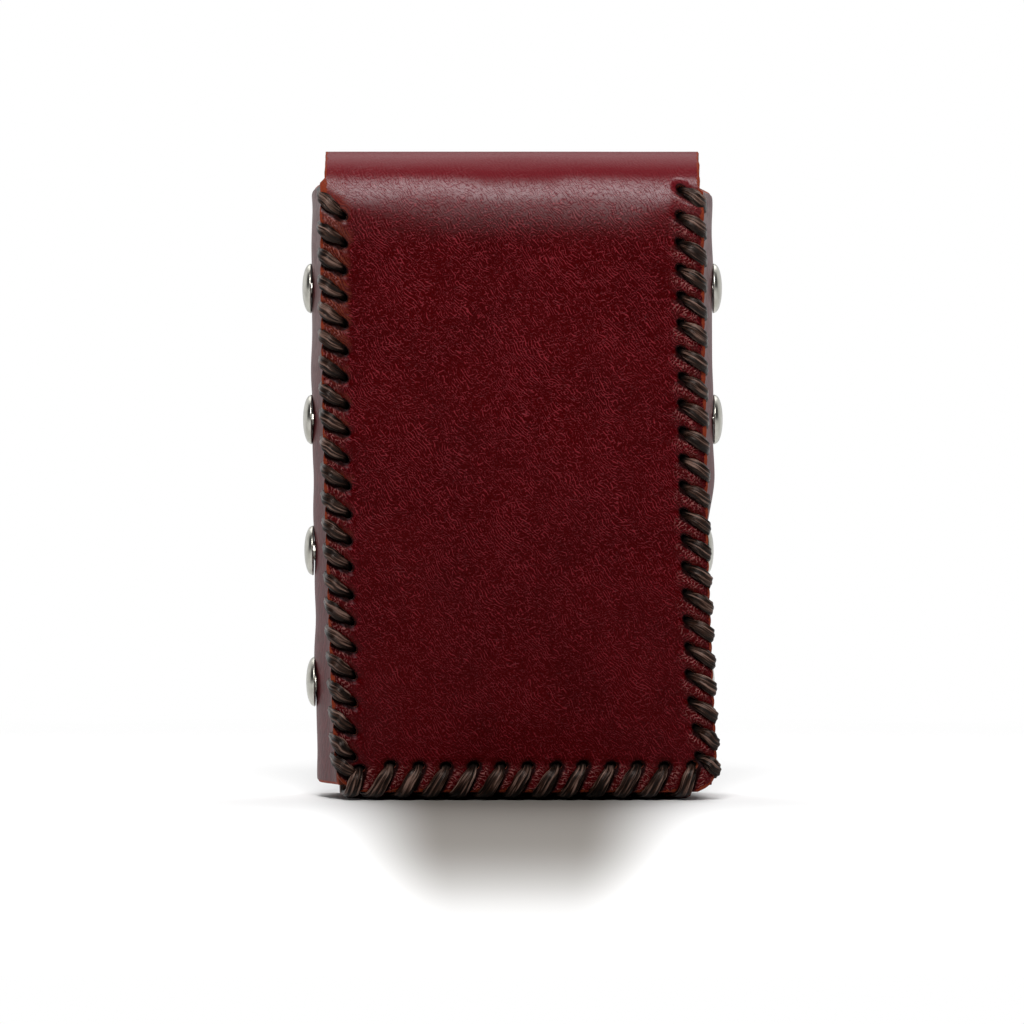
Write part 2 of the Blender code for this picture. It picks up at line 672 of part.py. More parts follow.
def add_press_stud(case, drop, metal):
    """Cap and socket ride on the flap; stud and post are fixed to the front panel."""
    forward = Vector((0, 1, 0))
    height = UP * SNAP_HEIGHT
    front_face = forward * BODY_DEPTH / 2
    flap_face = forward * FLAP_FACE
    post_to_socket = SEAT_GAP + PANEL_THICKNESS + 2 * SEAT_GAP
    cap = cap_profile(SNAP_CAP_RADIUS, SNAP_CAP_HEIGHT, SNAP_POST_RADIUS, post_to_socket)
    add_turned("snap_cap", cap, SNAP_SIDES, height + flap_face + forward * SEAT_GAP, forward, drop, metal)
    socket_foot = height + forward * (FLAP_INNER - SEAT_GAP - SOCKET_THICKNESS)
    add_turned("snap_socket", socket_profile(), SNAP_SIDES, socket_foot, forward, drop, metal, is_ring=True)
    stud_foot = height + front_face + forward * SEAT_GAP
    add_turned("snap_stud", stud_profile(), SNAP_SIDES, stud_foot, forward, case, metal)
    post_length = PANEL_THICKNESS + 2 * SEAT_GAP + STUD_FLANGE_THICKNESS
    post_foot = height + front_face - forward * (PANEL_THICKNESS + SEAT_GAP + STUD_FLANGE_THICKNESS)
    add_turned("snap_post", snap_post_profile(post_length), SNAP_SIDES, post_foot, forward, case, metal)


def add_snap_hole(shape, outer_y):
    middle = Vector((0, outer_y - PANEL_THICKNESS / 2, SNAP_HEIGHT))
    add_round_cutter(shape, middle, Vector((0, 1, 0)), SNAP_POST_RADIUS + SEAT_GAP, PANEL_THICKNESS)


def main():
    clear_scene()
    panel_leather = finish("panel_leather", (0.115, 0.007, 0.012), 0.42)
    gusset_leather = finish("gusset_leather", (0.095, 0.012, 0.018), 0.48)
    lace_fibre = finish("waxed_lace", (0.028, 0.016, 0.011), 0.50)
    nickel = finish("nickel", (0.62, 0.60, 0.56), 0.24, 1.0)

    case = pivot("case_pivot", Vector())
    lift = pivot("flap_lift_axis", LIFT_AXIS, case)
    drop = pivot("flap_bend_axis", BEND_AXIS, lift)

    as_is = Matrix.Identity(4)
    turned_round = Matrix.Rotation(math.pi, 4, "Z")
    back_stitches = whip_stitches(-1)
    front_stitches = whip_stitches(1)

    back_panel = add_object("back_panel", back_panel_shape(), case, panel_leather)
    holes = bmesh.new()
    add_slits(holes, panel_slits(back_stitches), as_is)
    cut(back_panel, holes, case)

    front_panel = add_object("front_panel", front_panel_shape(), case, panel_leather)
    holes = bmesh.new()
    add_slits(holes, panel_slits(front_stitches), turned_round)
    add_snap_hole(holes, BODY_DEPTH / 2)
    cut(front_panel, holes, case)

    for side, side_name in ((-1, "left"), (1, "right")):
        gusset = add_object(f"{side_name}_gusset", side_gusset_shape(side), case, gusset_leather)
        holes = bmesh.new()
        add_slits(holes, gusset_slits(back_stitches, RIGHT * side), as_is)
        add_slits(holes, gusset_slits(front_stitches, -RIGHT * side), turned_round)
        add_rivet_holes(holes, side)
        cut(gusset, holes, case)
        add_rivets(case, nickel, side, side_name)

    base = add_object("bottom_gusset", base_shape(), case, gusset_leather)
    holes = bmesh.new()
    add_slits(holes, gusset_slits(back_stitches, -UP), as_is)
    add_slits(holes, gusset_slits(front_stitches, -UP), turned_round)
    cut(base, holes, case)

    back_lace = lace_shape(lace_route(back_stitches))
    add_object("back_lacing", back_lace, case, lace_fibre)
    front_lace = lace_shape(lace_route(front_stitches))
    front_lace.transform(turned_round)
    add_object("front_lacing", front_lace, case, lace_fibre)

    add_object("flap_top", flap_top_shape(), lift, panel_leather)
    flap_front = add_object("flap_front", flap_front_shape(), drop, panel_leather)
    holes = bmesh.new()
    add_snap_hole(holes, FLAP_FACE)
    cut(flap_front, holes, drop)
    add_press_stud(case, drop, nickel)


main()
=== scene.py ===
# %% [markdown]
# # A hand-laced leather case for a packet of cigarettes
#
# The real case is cut flat from burgundy leather, punched, folded and whip-laced with a flat waxed lace.
# This notebook makes it in the same order: the sheets are cut and punched flat, then bent to their place.
# The first step loads the imported solids. They say where each piece goes, and most pieces ride on their bodies.

# %% Load the solids as a fixed frame
import math

import bpy
import numpy as np
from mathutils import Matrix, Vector


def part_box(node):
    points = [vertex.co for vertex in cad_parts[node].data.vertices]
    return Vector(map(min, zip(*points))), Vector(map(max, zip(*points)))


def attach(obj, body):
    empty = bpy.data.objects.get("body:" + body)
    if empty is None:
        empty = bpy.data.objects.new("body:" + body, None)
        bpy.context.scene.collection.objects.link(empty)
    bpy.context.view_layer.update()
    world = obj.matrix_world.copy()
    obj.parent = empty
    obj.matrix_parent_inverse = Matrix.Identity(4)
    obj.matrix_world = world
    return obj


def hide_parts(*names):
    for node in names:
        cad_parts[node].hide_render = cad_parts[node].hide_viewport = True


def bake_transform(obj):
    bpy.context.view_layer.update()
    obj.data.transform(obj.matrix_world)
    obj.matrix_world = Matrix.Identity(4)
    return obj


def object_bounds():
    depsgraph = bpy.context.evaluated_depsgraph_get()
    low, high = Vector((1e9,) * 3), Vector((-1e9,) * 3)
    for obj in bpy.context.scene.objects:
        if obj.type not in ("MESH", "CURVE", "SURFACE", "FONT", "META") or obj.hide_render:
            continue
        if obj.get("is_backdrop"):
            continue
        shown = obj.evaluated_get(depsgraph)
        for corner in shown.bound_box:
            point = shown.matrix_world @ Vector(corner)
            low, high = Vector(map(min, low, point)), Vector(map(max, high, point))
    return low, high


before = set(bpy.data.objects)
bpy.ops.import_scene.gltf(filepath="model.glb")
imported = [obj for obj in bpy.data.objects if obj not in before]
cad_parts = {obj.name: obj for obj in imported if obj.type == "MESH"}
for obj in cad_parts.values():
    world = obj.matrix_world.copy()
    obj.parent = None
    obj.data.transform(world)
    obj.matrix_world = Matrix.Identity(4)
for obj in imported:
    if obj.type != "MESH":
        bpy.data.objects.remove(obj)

cad_low, cad_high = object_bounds()

# %% [markdown]
# Every length below is in metres, so one named value turns the maker's millimetres into metres.
# The faces are read from the solids, and the smaller sizes are the ones that the leather was cut to.

# %% Sizes of the case
MM = 0.001
BACK_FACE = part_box("back_panel")[0].y
FRONT_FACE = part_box("front_panel")[1].y
FLAP_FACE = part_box("flap_front")[1].y
MIDDLE_Y = (BACK_FACE + FRONT_FACE) / 2
CASE_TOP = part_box("flap_top")[1].z
FLAP_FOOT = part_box("flap_front")[0].z
PANEL_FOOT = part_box("front_panel")[0].z
FRONT_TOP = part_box("front_panel")[1].z
PANEL_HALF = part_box("front_panel")[1].x
FLAP_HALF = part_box("flap_front")[1].x
LEATHER = 1.8 * MM
GUSSET_LEATHER = 1.6 * MM
FOLD_RADIUS = 7 * MM
FOLD_Z = CASE_TOP - FOLD_RADIUS
CORNER_RADIUS = 4.5 * MM
FLAP_CORNER_RADIUS = 11 * MM
GUSSET_HALF = 12.6 * MM
GUSSET_EDGE_X = PANEL_HALF - 0.2 * MM
GUSSET_BULGE = 2.05 * MM
print(f"back face at y {BACK_FACE / MM:.2f} mm, fold from z {FOLD_Z / MM:.1f} to {CASE_TOP / MM:.1f} mm")

# %% [markdown]
# The camera looks straight at the back panel. A long lens from a metre away keeps the sides almost parallel, and
# the lens is worked out from the width of the picture in millimetres.

# %% Camera
CAMERA_DISTANCE = 1.0
PICTURE_WIDTH = 162.5 * MM
CAMERA_HEIGHT = 45.8 * MM
scene = bpy.context.scene
scene.view_settings.view_transform = "Standard"
camera_data = bpy.data.cameras.new("camera")
camera_data.sensor_width = 36
camera_data.lens = camera_data.sensor_width * CAMERA_DISTANCE / PICTURE_WIDTH
camera_data.clip_start, camera_data.clip_end = 0.01, 20
camera = bpy.data.objects.new("camera", camera_data)
camera.location = (0, BACK_FACE - CAMERA_DISTANCE, CAMERA_HEIGHT)
camera.rotation_euler = (math.radians(90), 0, 0)
scene.collection.objects.link(camera)
scene.camera = camera
print(f"lens {camera_data.lens:.1f} mm")

# %% [markdown]
# Shader maths reads best as sums. This small class wraps one socket of a node tree. Adding, subtracting and
# multiplying wires adds Math nodes, and `add` makes any other node from its kind, settings and inputs.

# %% A wire that can be added and multiplied
class Wire:
    def __init__(self, tree, socket=None):
        self.tree = tree
        self.socket = socket

    def add(self, kind, settings=None, inputs=None, output=0):
        """A new node, as the wire of one of its outputs."""
        node = self.tree.nodes.new("ShaderNode" + kind)
        for name, value in (settings or {}).items():
            if name == "stops":
                set_stops(node.color_ramp, value)
            else:
                setattr(node, name, value)
        for name, value in (inputs or {}).items():
            if isinstance(value, Wire):
                self.tree.links.new(value.socket, node.inputs[name])
            else:
                node.inputs[name].default_value = value
        return Wire(self.tree, node.outputs[output])

    def maths(self, operation, *others):
        return self.add("Math", {"operation": operation}, dict(enumerate((self, *others))))

    def __add__(self, other):
        return self.maths("ADD", other)

    def __sub__(self, other):
        return self.maths("SUBTRACT", other)

    def __rsub__(self, other):
        return self.add("Math", {"operation": "SUBTRACT"}, {0: other, 1: self})

    def __mul__(self, other):
        return self.maths("MULTIPLY", other)

    def __truediv__(self, other):
        return self.maths("DIVIDE", other)

    __radd__ = __add__
    __rmul__ = __mul__

    def ramp(self, low, high):
        """0 below low, 1 above high and smooth between them."""
        inputs = {0: self, 1: low, 2: high, 3: 0.0, 4: 1.0}
        return self.add("MapRange", {"interpolation_type": "SMOOTHSTEP"}, inputs)

    def mix(self, share, first, second, blend="MIX"):
        """Mixes two colours, each of which may be a wire or three numbers."""
        first, second = (value if isinstance(value, Wire) else (*value, 1.0) for value in (first, second))
        settings = {"data_type": "RGBA", "blend_type": blend}
        return self.add("Mix", settings, {0: share, 6: first, 7: second}, output=2)

    def kept(self, name):
        """A number kept on each point of the piece."""
        return self.add("Attribute", {"attribute_type": "GEOMETRY", "attribute_name": name}, output=2)

    def millimetres(self):
        """The place on the piece in millimetres, from its own object coordinates."""
        return self.add("VectorMath", {"operation": "SCALE"}, {0: self.add("TexCoord", output=3), 3: 1000.0})

    def split(self):
        """The three parts of a place, each as a wire."""
        outputs = self.add("SeparateXYZ", inputs={0: self}).socket.node.outputs
        return [Wire(self.tree, socket) for socket in outputs]

    def stretched(self, turn, scale):
        """A place turned by some degrees about each axis and scaled along each axis."""
        inputs = {"Vector": self, "Rotation": [math.radians(angle) for angle in turn], "Scale": scale}
        return self.add("Mapping", {"vector_type": "TEXTURE"}, inputs)

    def noise(self, size, detail=2.0, roughness=0.5):
        """Smooth noise from 0 to 1 at a place, with lumps about as wide as size, in millimetres."""
        inputs = {"Vector": self, "Scale": 1.0 / size, "Detail": detail, "Roughness": roughness}
        return self.add("TexNoise", {"noise_dimensions": "3D"}, inputs)

    def bump(self, strength, depth):
        """Relief from a height, where depth is how deep a height of 1 is."""
        return self.add("Bump", inputs={"Strength": strength, "Distance": depth, "Height": self})


def set_stops(ramp, stops):
    while len(ramp.elements) < len(stops):
        ramp.elements.new(0.5)
    for element, (place, colour) in zip(ramp.elements, stops):
        element.position = place
        element.color = (*colour, 1.0)


def new_material(name, constants):
    """A material with its constants set, as (material, wire of its tree, shader node)."""
    material = bpy.data.materials.new(name)
    material.use_nodes = True
    shader = material.node_tree.nodes["Principled BSDF"]
    for socket, value in constants.items():
        shader.inputs[socket].default_value = value
    return material, Wire(material.node_tree), shader


def feed(shader, **sockets):
    """Links wires to a shader's sockets, whose names are given with _ for a space."""
    for name, wire in sockets.items():
        wire.tree.links.new(wire.socket, shader.inputs[name.replace("_", " ")])


print("shader helpers ready")

# %% [markdown]
# The studio has a softbox above the camera, a larger one behind the case and a surround. Only the camera sees
# the surround at full white. All other rays see a level that depends on where they go: nearly dark on the
# camera's side, so that the leather stays deep, and lit behind the case, most of all off to both sides.

# %% Studio
KEY_SIZE = (0.25, 0.34)
KEY_DISTANCE = 0.85
KEY_ELEVATION = math.radians(41)
KEY_POWER = 8.2
REAR_SIZE = (1.2, 0.9)
REAR_DISTANCE = 1.0
REAR_ELEVATION = math.radians(62)
REAR_POWER = 7.5
AIM = Vector((0, 0, 55 * MM))


def add_softbox(name, azimuth, elevation, distance, size, power):
    """A rectangular lamp that faces the case. Azimuth 0 stands behind the camera."""
    lamp = bpy.data.lights.new(name, "AREA")
    lamp.shape = "RECTANGLE"
    lamp.size, lamp.size_y = size
    lamp.energy = power
    softbox = bpy.data.objects.new(name, lamp)
    level = math.cos(elevation)
    towards = Vector((math.sin(azimuth) * level, -math.cos(azimuth) * level, math.sin(elevation)))
    softbox.location = AIM + towards * distance
    softbox.rotation_euler = towards.to_track_quat("Z", "Y").to_euler()
    scene.collection.objects.link(softbox)
    return softbox


add_softbox("key_softbox", 0.0, KEY_ELEVATION, KEY_DISTANCE, KEY_SIZE, KEY_POWER)
add_softbox("rear_softbox", math.radians(180), REAR_ELEVATION, REAR_DISTANCE, REAR_SIZE, REAR_POWER)

world = bpy.data.worlds.new("surround")
world.use_nodes = True
scene.world = world
sky = Wire(world.node_tree)
background = world.node_tree.nodes["Background"]
background.inputs["Color"].default_value = (1, 1, 1, 1)
side_part, rear_part, _ = sky.add("TexCoord").split()
behind = rear_part.ramp(-0.06, 0.30)
off_axis = side_part.maths("ABSOLUTE").ramp(0.05, 0.45)
studio_level = behind * (off_axis * 0.75 + 0.30) + 0.02
camera_ray = sky.add("LightPath", output="Is Camera Ray")
level = camera_ray + (1 - camera_ray) * studio_level
sky.tree.links.new(level.socket, background.inputs["Strength"])

# %% [markdown]
# The floor is a plain pale sheet. Its own tone darkens in front of the foot of the case, which is the soft
# shadow of the photograph, and it glows white far away, so that it runs into the surround without an edge.

# %% Floor
FLOOR_HALF = 6.0
FLOOR_TONE = (0.80, 0.80, 0.80)
SHADOW_DEPTHS = (0.795, 0.810, 0.828)
SHADOW_HALF_WIDTH = 27.0
SHADOW_TAPER = 0.045
bpy.ops.object.select_all(action="DESELECT")
bpy.ops.mesh.primitive_plane_add(size=2 * FLOOR_HALF, location=(0, 0, 0))
floor = bpy.context.active_object
floor.name = "floor"
floor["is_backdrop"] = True
floor_paint, wire, shader = new_material("pale_floor", {"Roughness": 0.7, "Specular IOR Level": 0.15})
place = wire.millimetres()
across, depth, _ = place.split()
ahead = (BACK_FACE / MM) - depth
in_width = 1 - (across.maths("ABSOLUTE") / (SHADOW_HALF_WIDTH - ahead * SHADOW_TAPER)).ramp(0.42, 1.30)
in_length = (1 - ahead.ramp(120.0, 420.0)) * ahead.ramp(-30.0, -6.0)
shade = in_width * in_length
tone = wire.add("CombineXYZ", inputs={part: 1 - shade * depth for part, depth in enumerate(SHADOW_DEPTHS)})
feed(shader, Base_Color=wire.mix(1.0, FLOOR_TONE, tone, "MULTIPLY"))
far = wire.add("VectorMath", {"operation": "LENGTH"}, {0: place}, output=1).ramp(240.0, 400.0)
camera_ray, glossy_ray, passing_ray = (
    wire.add("LightPath", output=f"Is {kind} Ray") for kind in ("Camera", "Glossy", "Transmission"))
share = (far * (camera_ray + glossy_ray + passing_ray)).maths("MINIMUM", 1.0)
glow = wire.add("Emission", inputs={"Color": (1, 1, 1, 1), "Strength": 1.0})
surface = wire.add("MixShader", inputs={0: share, 1: Wire(wire.tree, shader.outputs[0]), 2: glow})
output = wire.tree.nodes["Material Output"]
wire.tree.links.new(surface.socket, output.inputs["Surface"])
floor.data.materials.append(floor_paint)
print("floor", tuple(round(side, 2) for side in floor.dimensions))

# %% [markdown]
# The way of the back over the top comes first, because the case's other pieces lean with it. Years in a
# pocket have rounded it: the back starts to lean in 15 mm below the top and then rolls over. It is a list
# of how far the leather is tilted at each length along it, and code adds that up into a smooth line.

# %% The way of the sheet over the folds
TILTS = ((0, 0), (3, 3), (6.4, 12.5), (10.2, 27), (11.3, 41), (13.0, 54), (16.0, 68), (20.4, 90))
STEP = 0.02 * MM
SMOOTHED = 81
lean_lengths = np.arange(0, TILTS[-1][0] * MM, STEP)
lean_tilts = np.interp(lean_lengths, [length * MM for length, _ in TILTS], [tilt for _, tilt in TILTS])
lean_tilts = np.pad(np.radians(lean_tilts), SMOOTHED // 2, mode="edge")
lean_tilts = np.convolve(lean_tilts, np.ones(SMOOTHED) / SMOOTHED, mode="valid")
lean_rise, lean_run = np.sum(np.cos(lean_tilts)) * STEP, np.sum(np.sin(lean_tilts)) * STEP
RISE = CASE_TOP - PANEL_FOOT - lean_rise
TOP_RUN = (FLAP_FACE - FOLD_RADIUS) - (BACK_FACE + lean_run)
QUARTER = math.pi / 2 * FOLD_RADIUS
DROP = FOLD_Z - FLAP_FOOT
MIDDLE_TOP = (BACK_FACE + FLAP_FACE) / 2
FOLD_START = RISE + len(lean_lengths) * STEP
PARTING = FOLD_START + MIDDLE_TOP - BACK_FACE - lean_run
SHEET_END = FOLD_START + TOP_RUN + QUARTER + DROP
way_lengths = np.arange(0, SHEET_END + STEP, STEP)
way_tilts = np.interp(way_lengths, RISE + lean_lengths, lean_tilts, left=0, right=math.pi / 2)
way_tilts += np.clip((way_lengths - FOLD_START - TOP_RUN) / FOLD_RADIUS, 0, math.pi / 2)
way_y = BACK_FACE + np.concatenate([[0], np.cumsum(np.sin(way_tilts[:-1]))]) * STEP
way_z = PANEL_FOOT + np.concatenate([[0], np.cumsum(np.cos(way_tilts[:-1]))]) * STEP


def over_folds(along):
    """The outer face's y and z and its normal's y and z, at lengths along the sheet from the foot."""
    y = np.interp(along, way_lengths, way_y)
    z = np.interp(along, way_lengths, way_z)
    tilt = np.interp(along, way_lengths, way_tilts)
    return y, z, -np.cos(tilt), np.sin(tilt)


print(f"leans in from z {(PANEL_FOOT + RISE) / MM:.1f} mm, top at z {way_z.max() / MM:.2f} mm")

# %% [markdown]
# The leather's forms are sums of smooth steps, bells and soft random waves over the points of a piece. The
# tools below make those, read and write a piece's points, and keep numbers on them for the finish.

# %% Small tools for points and pieces
def ease(value, low, high):
    """0 at low, 1 at high and smooth between them, also where high is below low."""
    share = np.clip((value - low) / (high - low), 0, 1)
    return share * share * (3 - 2 * share)


def bell(value, width):
    """1 where a value is 0, falling off on both sides over about a width."""
    return np.exp(-(value / width) ** 2)


def fading(distance, width):
    """1 at no distance, falling evenly to 0 at a width."""
    return 1 - np.clip(distance / width, 0, 1)


def points_of(piece):
    co = np.empty(len(piece.data.vertices) * 3)
    piece.data.vertices.foreach_get("co", co)
    return co.reshape(-1, 3)


def set_points(piece, points):
    piece.data.vertices.foreach_set("co", np.asarray(points, float).ravel())
    piece.data.update()


def keep(piece, **numbers):
    """Keeps numbers on each point of a piece, for its finish to read."""
    for name, values in numbers.items():
        attribute = piece.data.attributes.new(name, "FLOAT", "POINT")
        attribute.data.foreach_set("value", np.asarray(values, np.float32))


def new_piece(name, points, edges, faces):
    """A piece made from points, alone selected and active."""
    mesh = bpy.data.meshes.new(name)
    mesh.from_pydata(points, edges, faces)
    piece = bpy.data.objects.new(name, mesh)
    scene.collection.objects.link(piece)
    bpy.ops.object.select_all(action="DESELECT")
    bpy.context.view_layer.objects.active = piece
    piece.select_set(True)
    return piece


def ripples(across, along, wavelengths, count, seed):
    """Soft random waves from -1 to 1, the same on each run."""
    random = np.random.default_rng(seed)
    total = np.zeros_like(across)
    for _ in range(count):
        angle = random.uniform(0, 2 * math.pi)
        number = 2 * math.pi / random.uniform(*wavelengths)
        phase = random.uniform(0, 2 * math.pi)
        total += np.sin((across * math.cos(angle) + along * math.sin(angle)) * number + phase)
    return total / math.sqrt(count)


print("point tools ready")

# %% [markdown]
# A worn case isn't quite square. The photographed one leans: its back has slid to the right at the foot, and
# the right side is pushed in low down. `settle` moves any points by that lean, so that leather, lace and
# rivets all follow it together.

# %% How the worn case has settled
LEAN_TOP = 97.8 * MM
LEAN_FALL = 89.5 * MM
LEAN = 2.3 * MM
DENT = 1.8 * MM


def settle(points, leans_back=True):
    """Moves points, as an array of x, y, z rows, to where the worn case has them."""
    moved = np.array(points, float)
    x, y, z = moved.T
    down = np.clip((LEAN_TOP - z) / LEAN_FALL, 0, 1.08)
    inward = np.clip((y - BACK_FACE) / (FRONT_FACE - BACK_FACE), 0, 1)
    middle = 4 * inward * (1 - inward)
    dent = DENT * ease(z, 52 * MM, 37 * MM) * ease(x, 20 * MM, 28 * MM)
    if leans_back:
        first_half = way_lengths < RISE + 10 * MM
        lean_in = np.interp(z, way_z[first_half], way_y[first_half] - BACK_FACE)
        moved[:, 1] += lean_in * (1 - inward) ** 1.5
    moved[:, 0] += LEAN * down ** 2 * (1 - inward) ** 1.5 - dent * middle
    return moved


print("the foot moves", round(settle([[0, BACK_FACE, PANEL_FOOT]])[0][0] / MM, 2), "mm to the right")

# %% [markdown]
# The lacing sets out everything else: where the holes are, and how each stitch lies. On the real case each
# stitch comes out of the gusset, wraps the edge and dives into a hole in the panel a little further on.
# A stitch is kept as the place where it dives, its kind, and its slant, which is how far it travels along the
# edge. The two at the lower left corner are given one by one, because the lace turns there.

# %% Setting out the stitches
SIDE_PITCH = 4.3 * MM
FOOT_PITCH = 4.36 * MM
FIRST_HOLE = 6.85 * MM
LEFT_INSET = 2.9 * MM
RIGHT_INSET = 3.15 * MM
SIDE_SLANT = 2.75 * MM
TOP_LEFT_EXTRA = 1.2 * MM
LEFT_RISE = 0.55 * MM
RIGHT_DROP = 0.2 * MM
CORNER_STITCHES = ((-27.4 * MM, 4.3 * MM, "left", SIDE_SLANT), (-26.8 * MM, 4.7 * MM, "foot", 1.9 * MM))
FOOT_INSET = 3.8 * MM
GUSSET_INSET = 2.1 * MM
FOOT_HOLES = 11
CROSSING_SHARE = 0.54


def stitch_plan(left_count, right_count, first_hole, seed):
    """Each stitch as (x, z, kind, slant) in lacing order: down the left, along the foot and up the right."""
    random = np.random.default_rng(seed)
    stitches = []
    for step in reversed(range(left_count)):
        inset = LEFT_INSET - 0.7 * MM * max(0.0, 1 - step / 2.5)
        slant = SIDE_SLANT + TOP_LEFT_EXTRA * (step == left_count - 1)
        stitches.append((-PANEL_HALF + inset, first_hole + LEFT_RISE + SIDE_PITCH * step, "left", slant))
    stitches += CORNER_STITCHES
    for step in range(FOOT_HOLES):
        x = FOOT_PITCH * (step - (FOOT_HOLES - 1) / 2)
        stitches.append((x, PANEL_FOOT + FOOT_INSET, "foot", 0.86 * FOOT_PITCH))
    stitches.append((26.1 * MM, PANEL_FOOT + FOOT_INSET, "foot", 0.55 * FOOT_PITCH))
    for step in range(right_count):
        inset = RIGHT_INSET - 0.9 * MM * max(0.0, 1 - step / 2.5)
        slant = SIDE_SLANT * (1.08 if step else 0.95)
        stitches.append((PANEL_HALF - inset, first_hole - RIGHT_DROP + 0.998 * SIDE_PITCH * step, "right", slant))
    shifts = random.uniform(-0.13, 0.13, (len(stitches), 2)) * MM
    return [(x + dx, z + dz, kind, slant) for (x, z, kind, slant), (dx, dz) in zip(stitches, shifts)]


def hole_of(stitch):
    """The middle of a stitch's hole, a little past the place where the lace dives."""
    x, z, kind, slant = stitch
    if kind == "foot":
        return x + 0.18 * MM, z + 0.42 * MM
    out = -1 if kind == "left" else 1
    return x - out * 0.34 * MM, z + out * 0.36 * MM


def hole_shape(stitch):
    """A stitch's hole as its angle, length and width. The pull of the lace turns the holes at the sides."""
    if stitch[2] == "foot":
        return math.radians(12), 1.9 * MM, 1.35 * MM
    return math.radians(-42), 2.1 * MM, 1.35 * MM


def crossing_of(stitch):
    """Where a stitch crosses the panel's edge."""
    x, z, kind, slant = stitch
    if kind == "foot":
        return x - slant * CROSSING_SHARE, PANEL_FOOT
    out = -1 if kind == "left" else 1
    return out * PANEL_HALF, z - out * slant * CROSSING_SHARE


back_stitches = stitch_plan(21, 22, FIRST_HOLE, 4)
front_stitches = stitch_plan(18, 18, FIRST_HOLE + 0.55 * SIDE_PITCH, 6)
print("stitches:", len(back_stitches), "at the back,", len(front_stitches), "at the front")

# %% [markdown]
# A panel is cut as a flat grid whose rows follow the outline, so that the rounded corners come out clean.
# Rows and columns crowd together near the stitches. The sheet gets its thickness and its holes while it is
# still flat, as on the cutting board, because that keeps every wall square. Code then bends it to its place.

# %% Cutting and punching a flat sheet
def spaced(low, high, bands):
    """Places from low to high; bands is a list of (up to, step)."""
    places = [low]
    for limit, step in bands:
        count = max(1, round((limit - places[-1]) / step))
        places += list(np.linspace(places[-1], limit, count + 1)[1:])
    return np.array(places)


def columns_across(half, band, fine, coarse):
    """Columns from -1 to 1 that are close together in a band at each side. All lengths in millimetres."""
    return spaced(-1, 1, [(-1 + band / half, fine / half), (1 - band / half, coarse / half), (1, fine / half)])


def cut_sheet(name, columns, rows, half_width, thickness):
    """A flat sheet. Columns run from -1 to 1 of the half width there, and its top is the outer face."""
    bpy.ops.object.select_all(action="DESELECT")
    bpy.ops.mesh.primitive_grid_add(x_subdivisions=len(columns) - 1, y_subdivisions=len(rows) - 1, size=1)
    sheet = bpy.context.active_object
    sheet.name = name
    across, along = np.meshgrid(columns, rows)
    across = across * half_width(along, np.sign(across))
    set_points(sheet, np.stack([across.ravel(), along.ravel(), np.zeros(across.size)], 1))
    solid = sheet.modifiers.new("thickness", "SOLIDIFY")
    solid.thickness = thickness
    solid.offset = -1
    bpy.ops.object.modifier_apply(modifier=solid.name)
    return sheet


def punch(sheet, holes, thickness):
    """Punches oval holes, each given as (x, y, angle, length, width)."""
    bpy.ops.object.select_all(action="DESELECT")
    cutters = []
    for x, y, angle, length, width in holes:
        place = (x, y, -thickness / 2)
        bpy.ops.mesh.primitive_cylinder_add(vertices=14, radius=0.5, depth=3 * thickness, location=place)
        cutter = bpy.context.active_object
        cutter.scale = (length, width, 1)
        cutter.rotation_euler.z = angle
        cutters.append(cutter)
    for cutter in cutters:
        cutter.select_set(True)
    if len(cutters) > 1:
        bpy.ops.object.join()
    cutter = bpy.context.active_object
    bpy.ops.object.transform_apply(location=True, rotation=True, scale=True)
    boolean = sheet.modifiers.new("holes", "BOOLEAN")
    boolean.operation = "DIFFERENCE"
    boolean.solver = "MANIFOLD"
    boolean.object = cutter
    bpy.context.view_layer.objects.active = sheet
    bpy.ops.object.modifier_apply(modifier=boolean.name)
    bpy.data.objects.remove(cutter)


def face_materials(sheet, thickness, outer):
    """Gives the flat sheet its grain side, flesh side and raw walls, by where each face looks."""
    sheet.data.materials.clear()
    for material in (outer, flesh_leather, raw_leather):
        sheet.data.materials.append(material)
    for face in sheet.data.polygons:
        if face.normal.z > 0.7 and face.center.z > -0.1 * thickness:
            face.material_index = 0
        elif face.normal.z < -0.7 and face.center.z < -0.9 * thickness:
            face.material_index = 1
        else:
            face.material_index = 2
    sheet.data.shade_smooth()
    sheet.data.set_sharp_from_angle(angle=math.radians(50))


def rounded_half(foot, half, radius, along):
    """The half width of a sheet with rounded lower corners, at heights along it."""
    rise = np.clip((along - foot) / radius, 0, 1)
    return half - radius + radius * np.sqrt(np.clip(1 - (1 - rise) ** 2, 0, 1))


def stitch_holes(stitches, share=1.0):
    """The oval holes of a panel, each in the direction that its lace has pulled it."""
    holes = []
    for stitch in stitches:
        x, z = hole_of(stitch)
        angle, length, width = hole_shape(stitch)
        holes.append((x, z - PANEL_FOOT, angle, length * share, width * share))
    return holes


print("sheet tools ready")
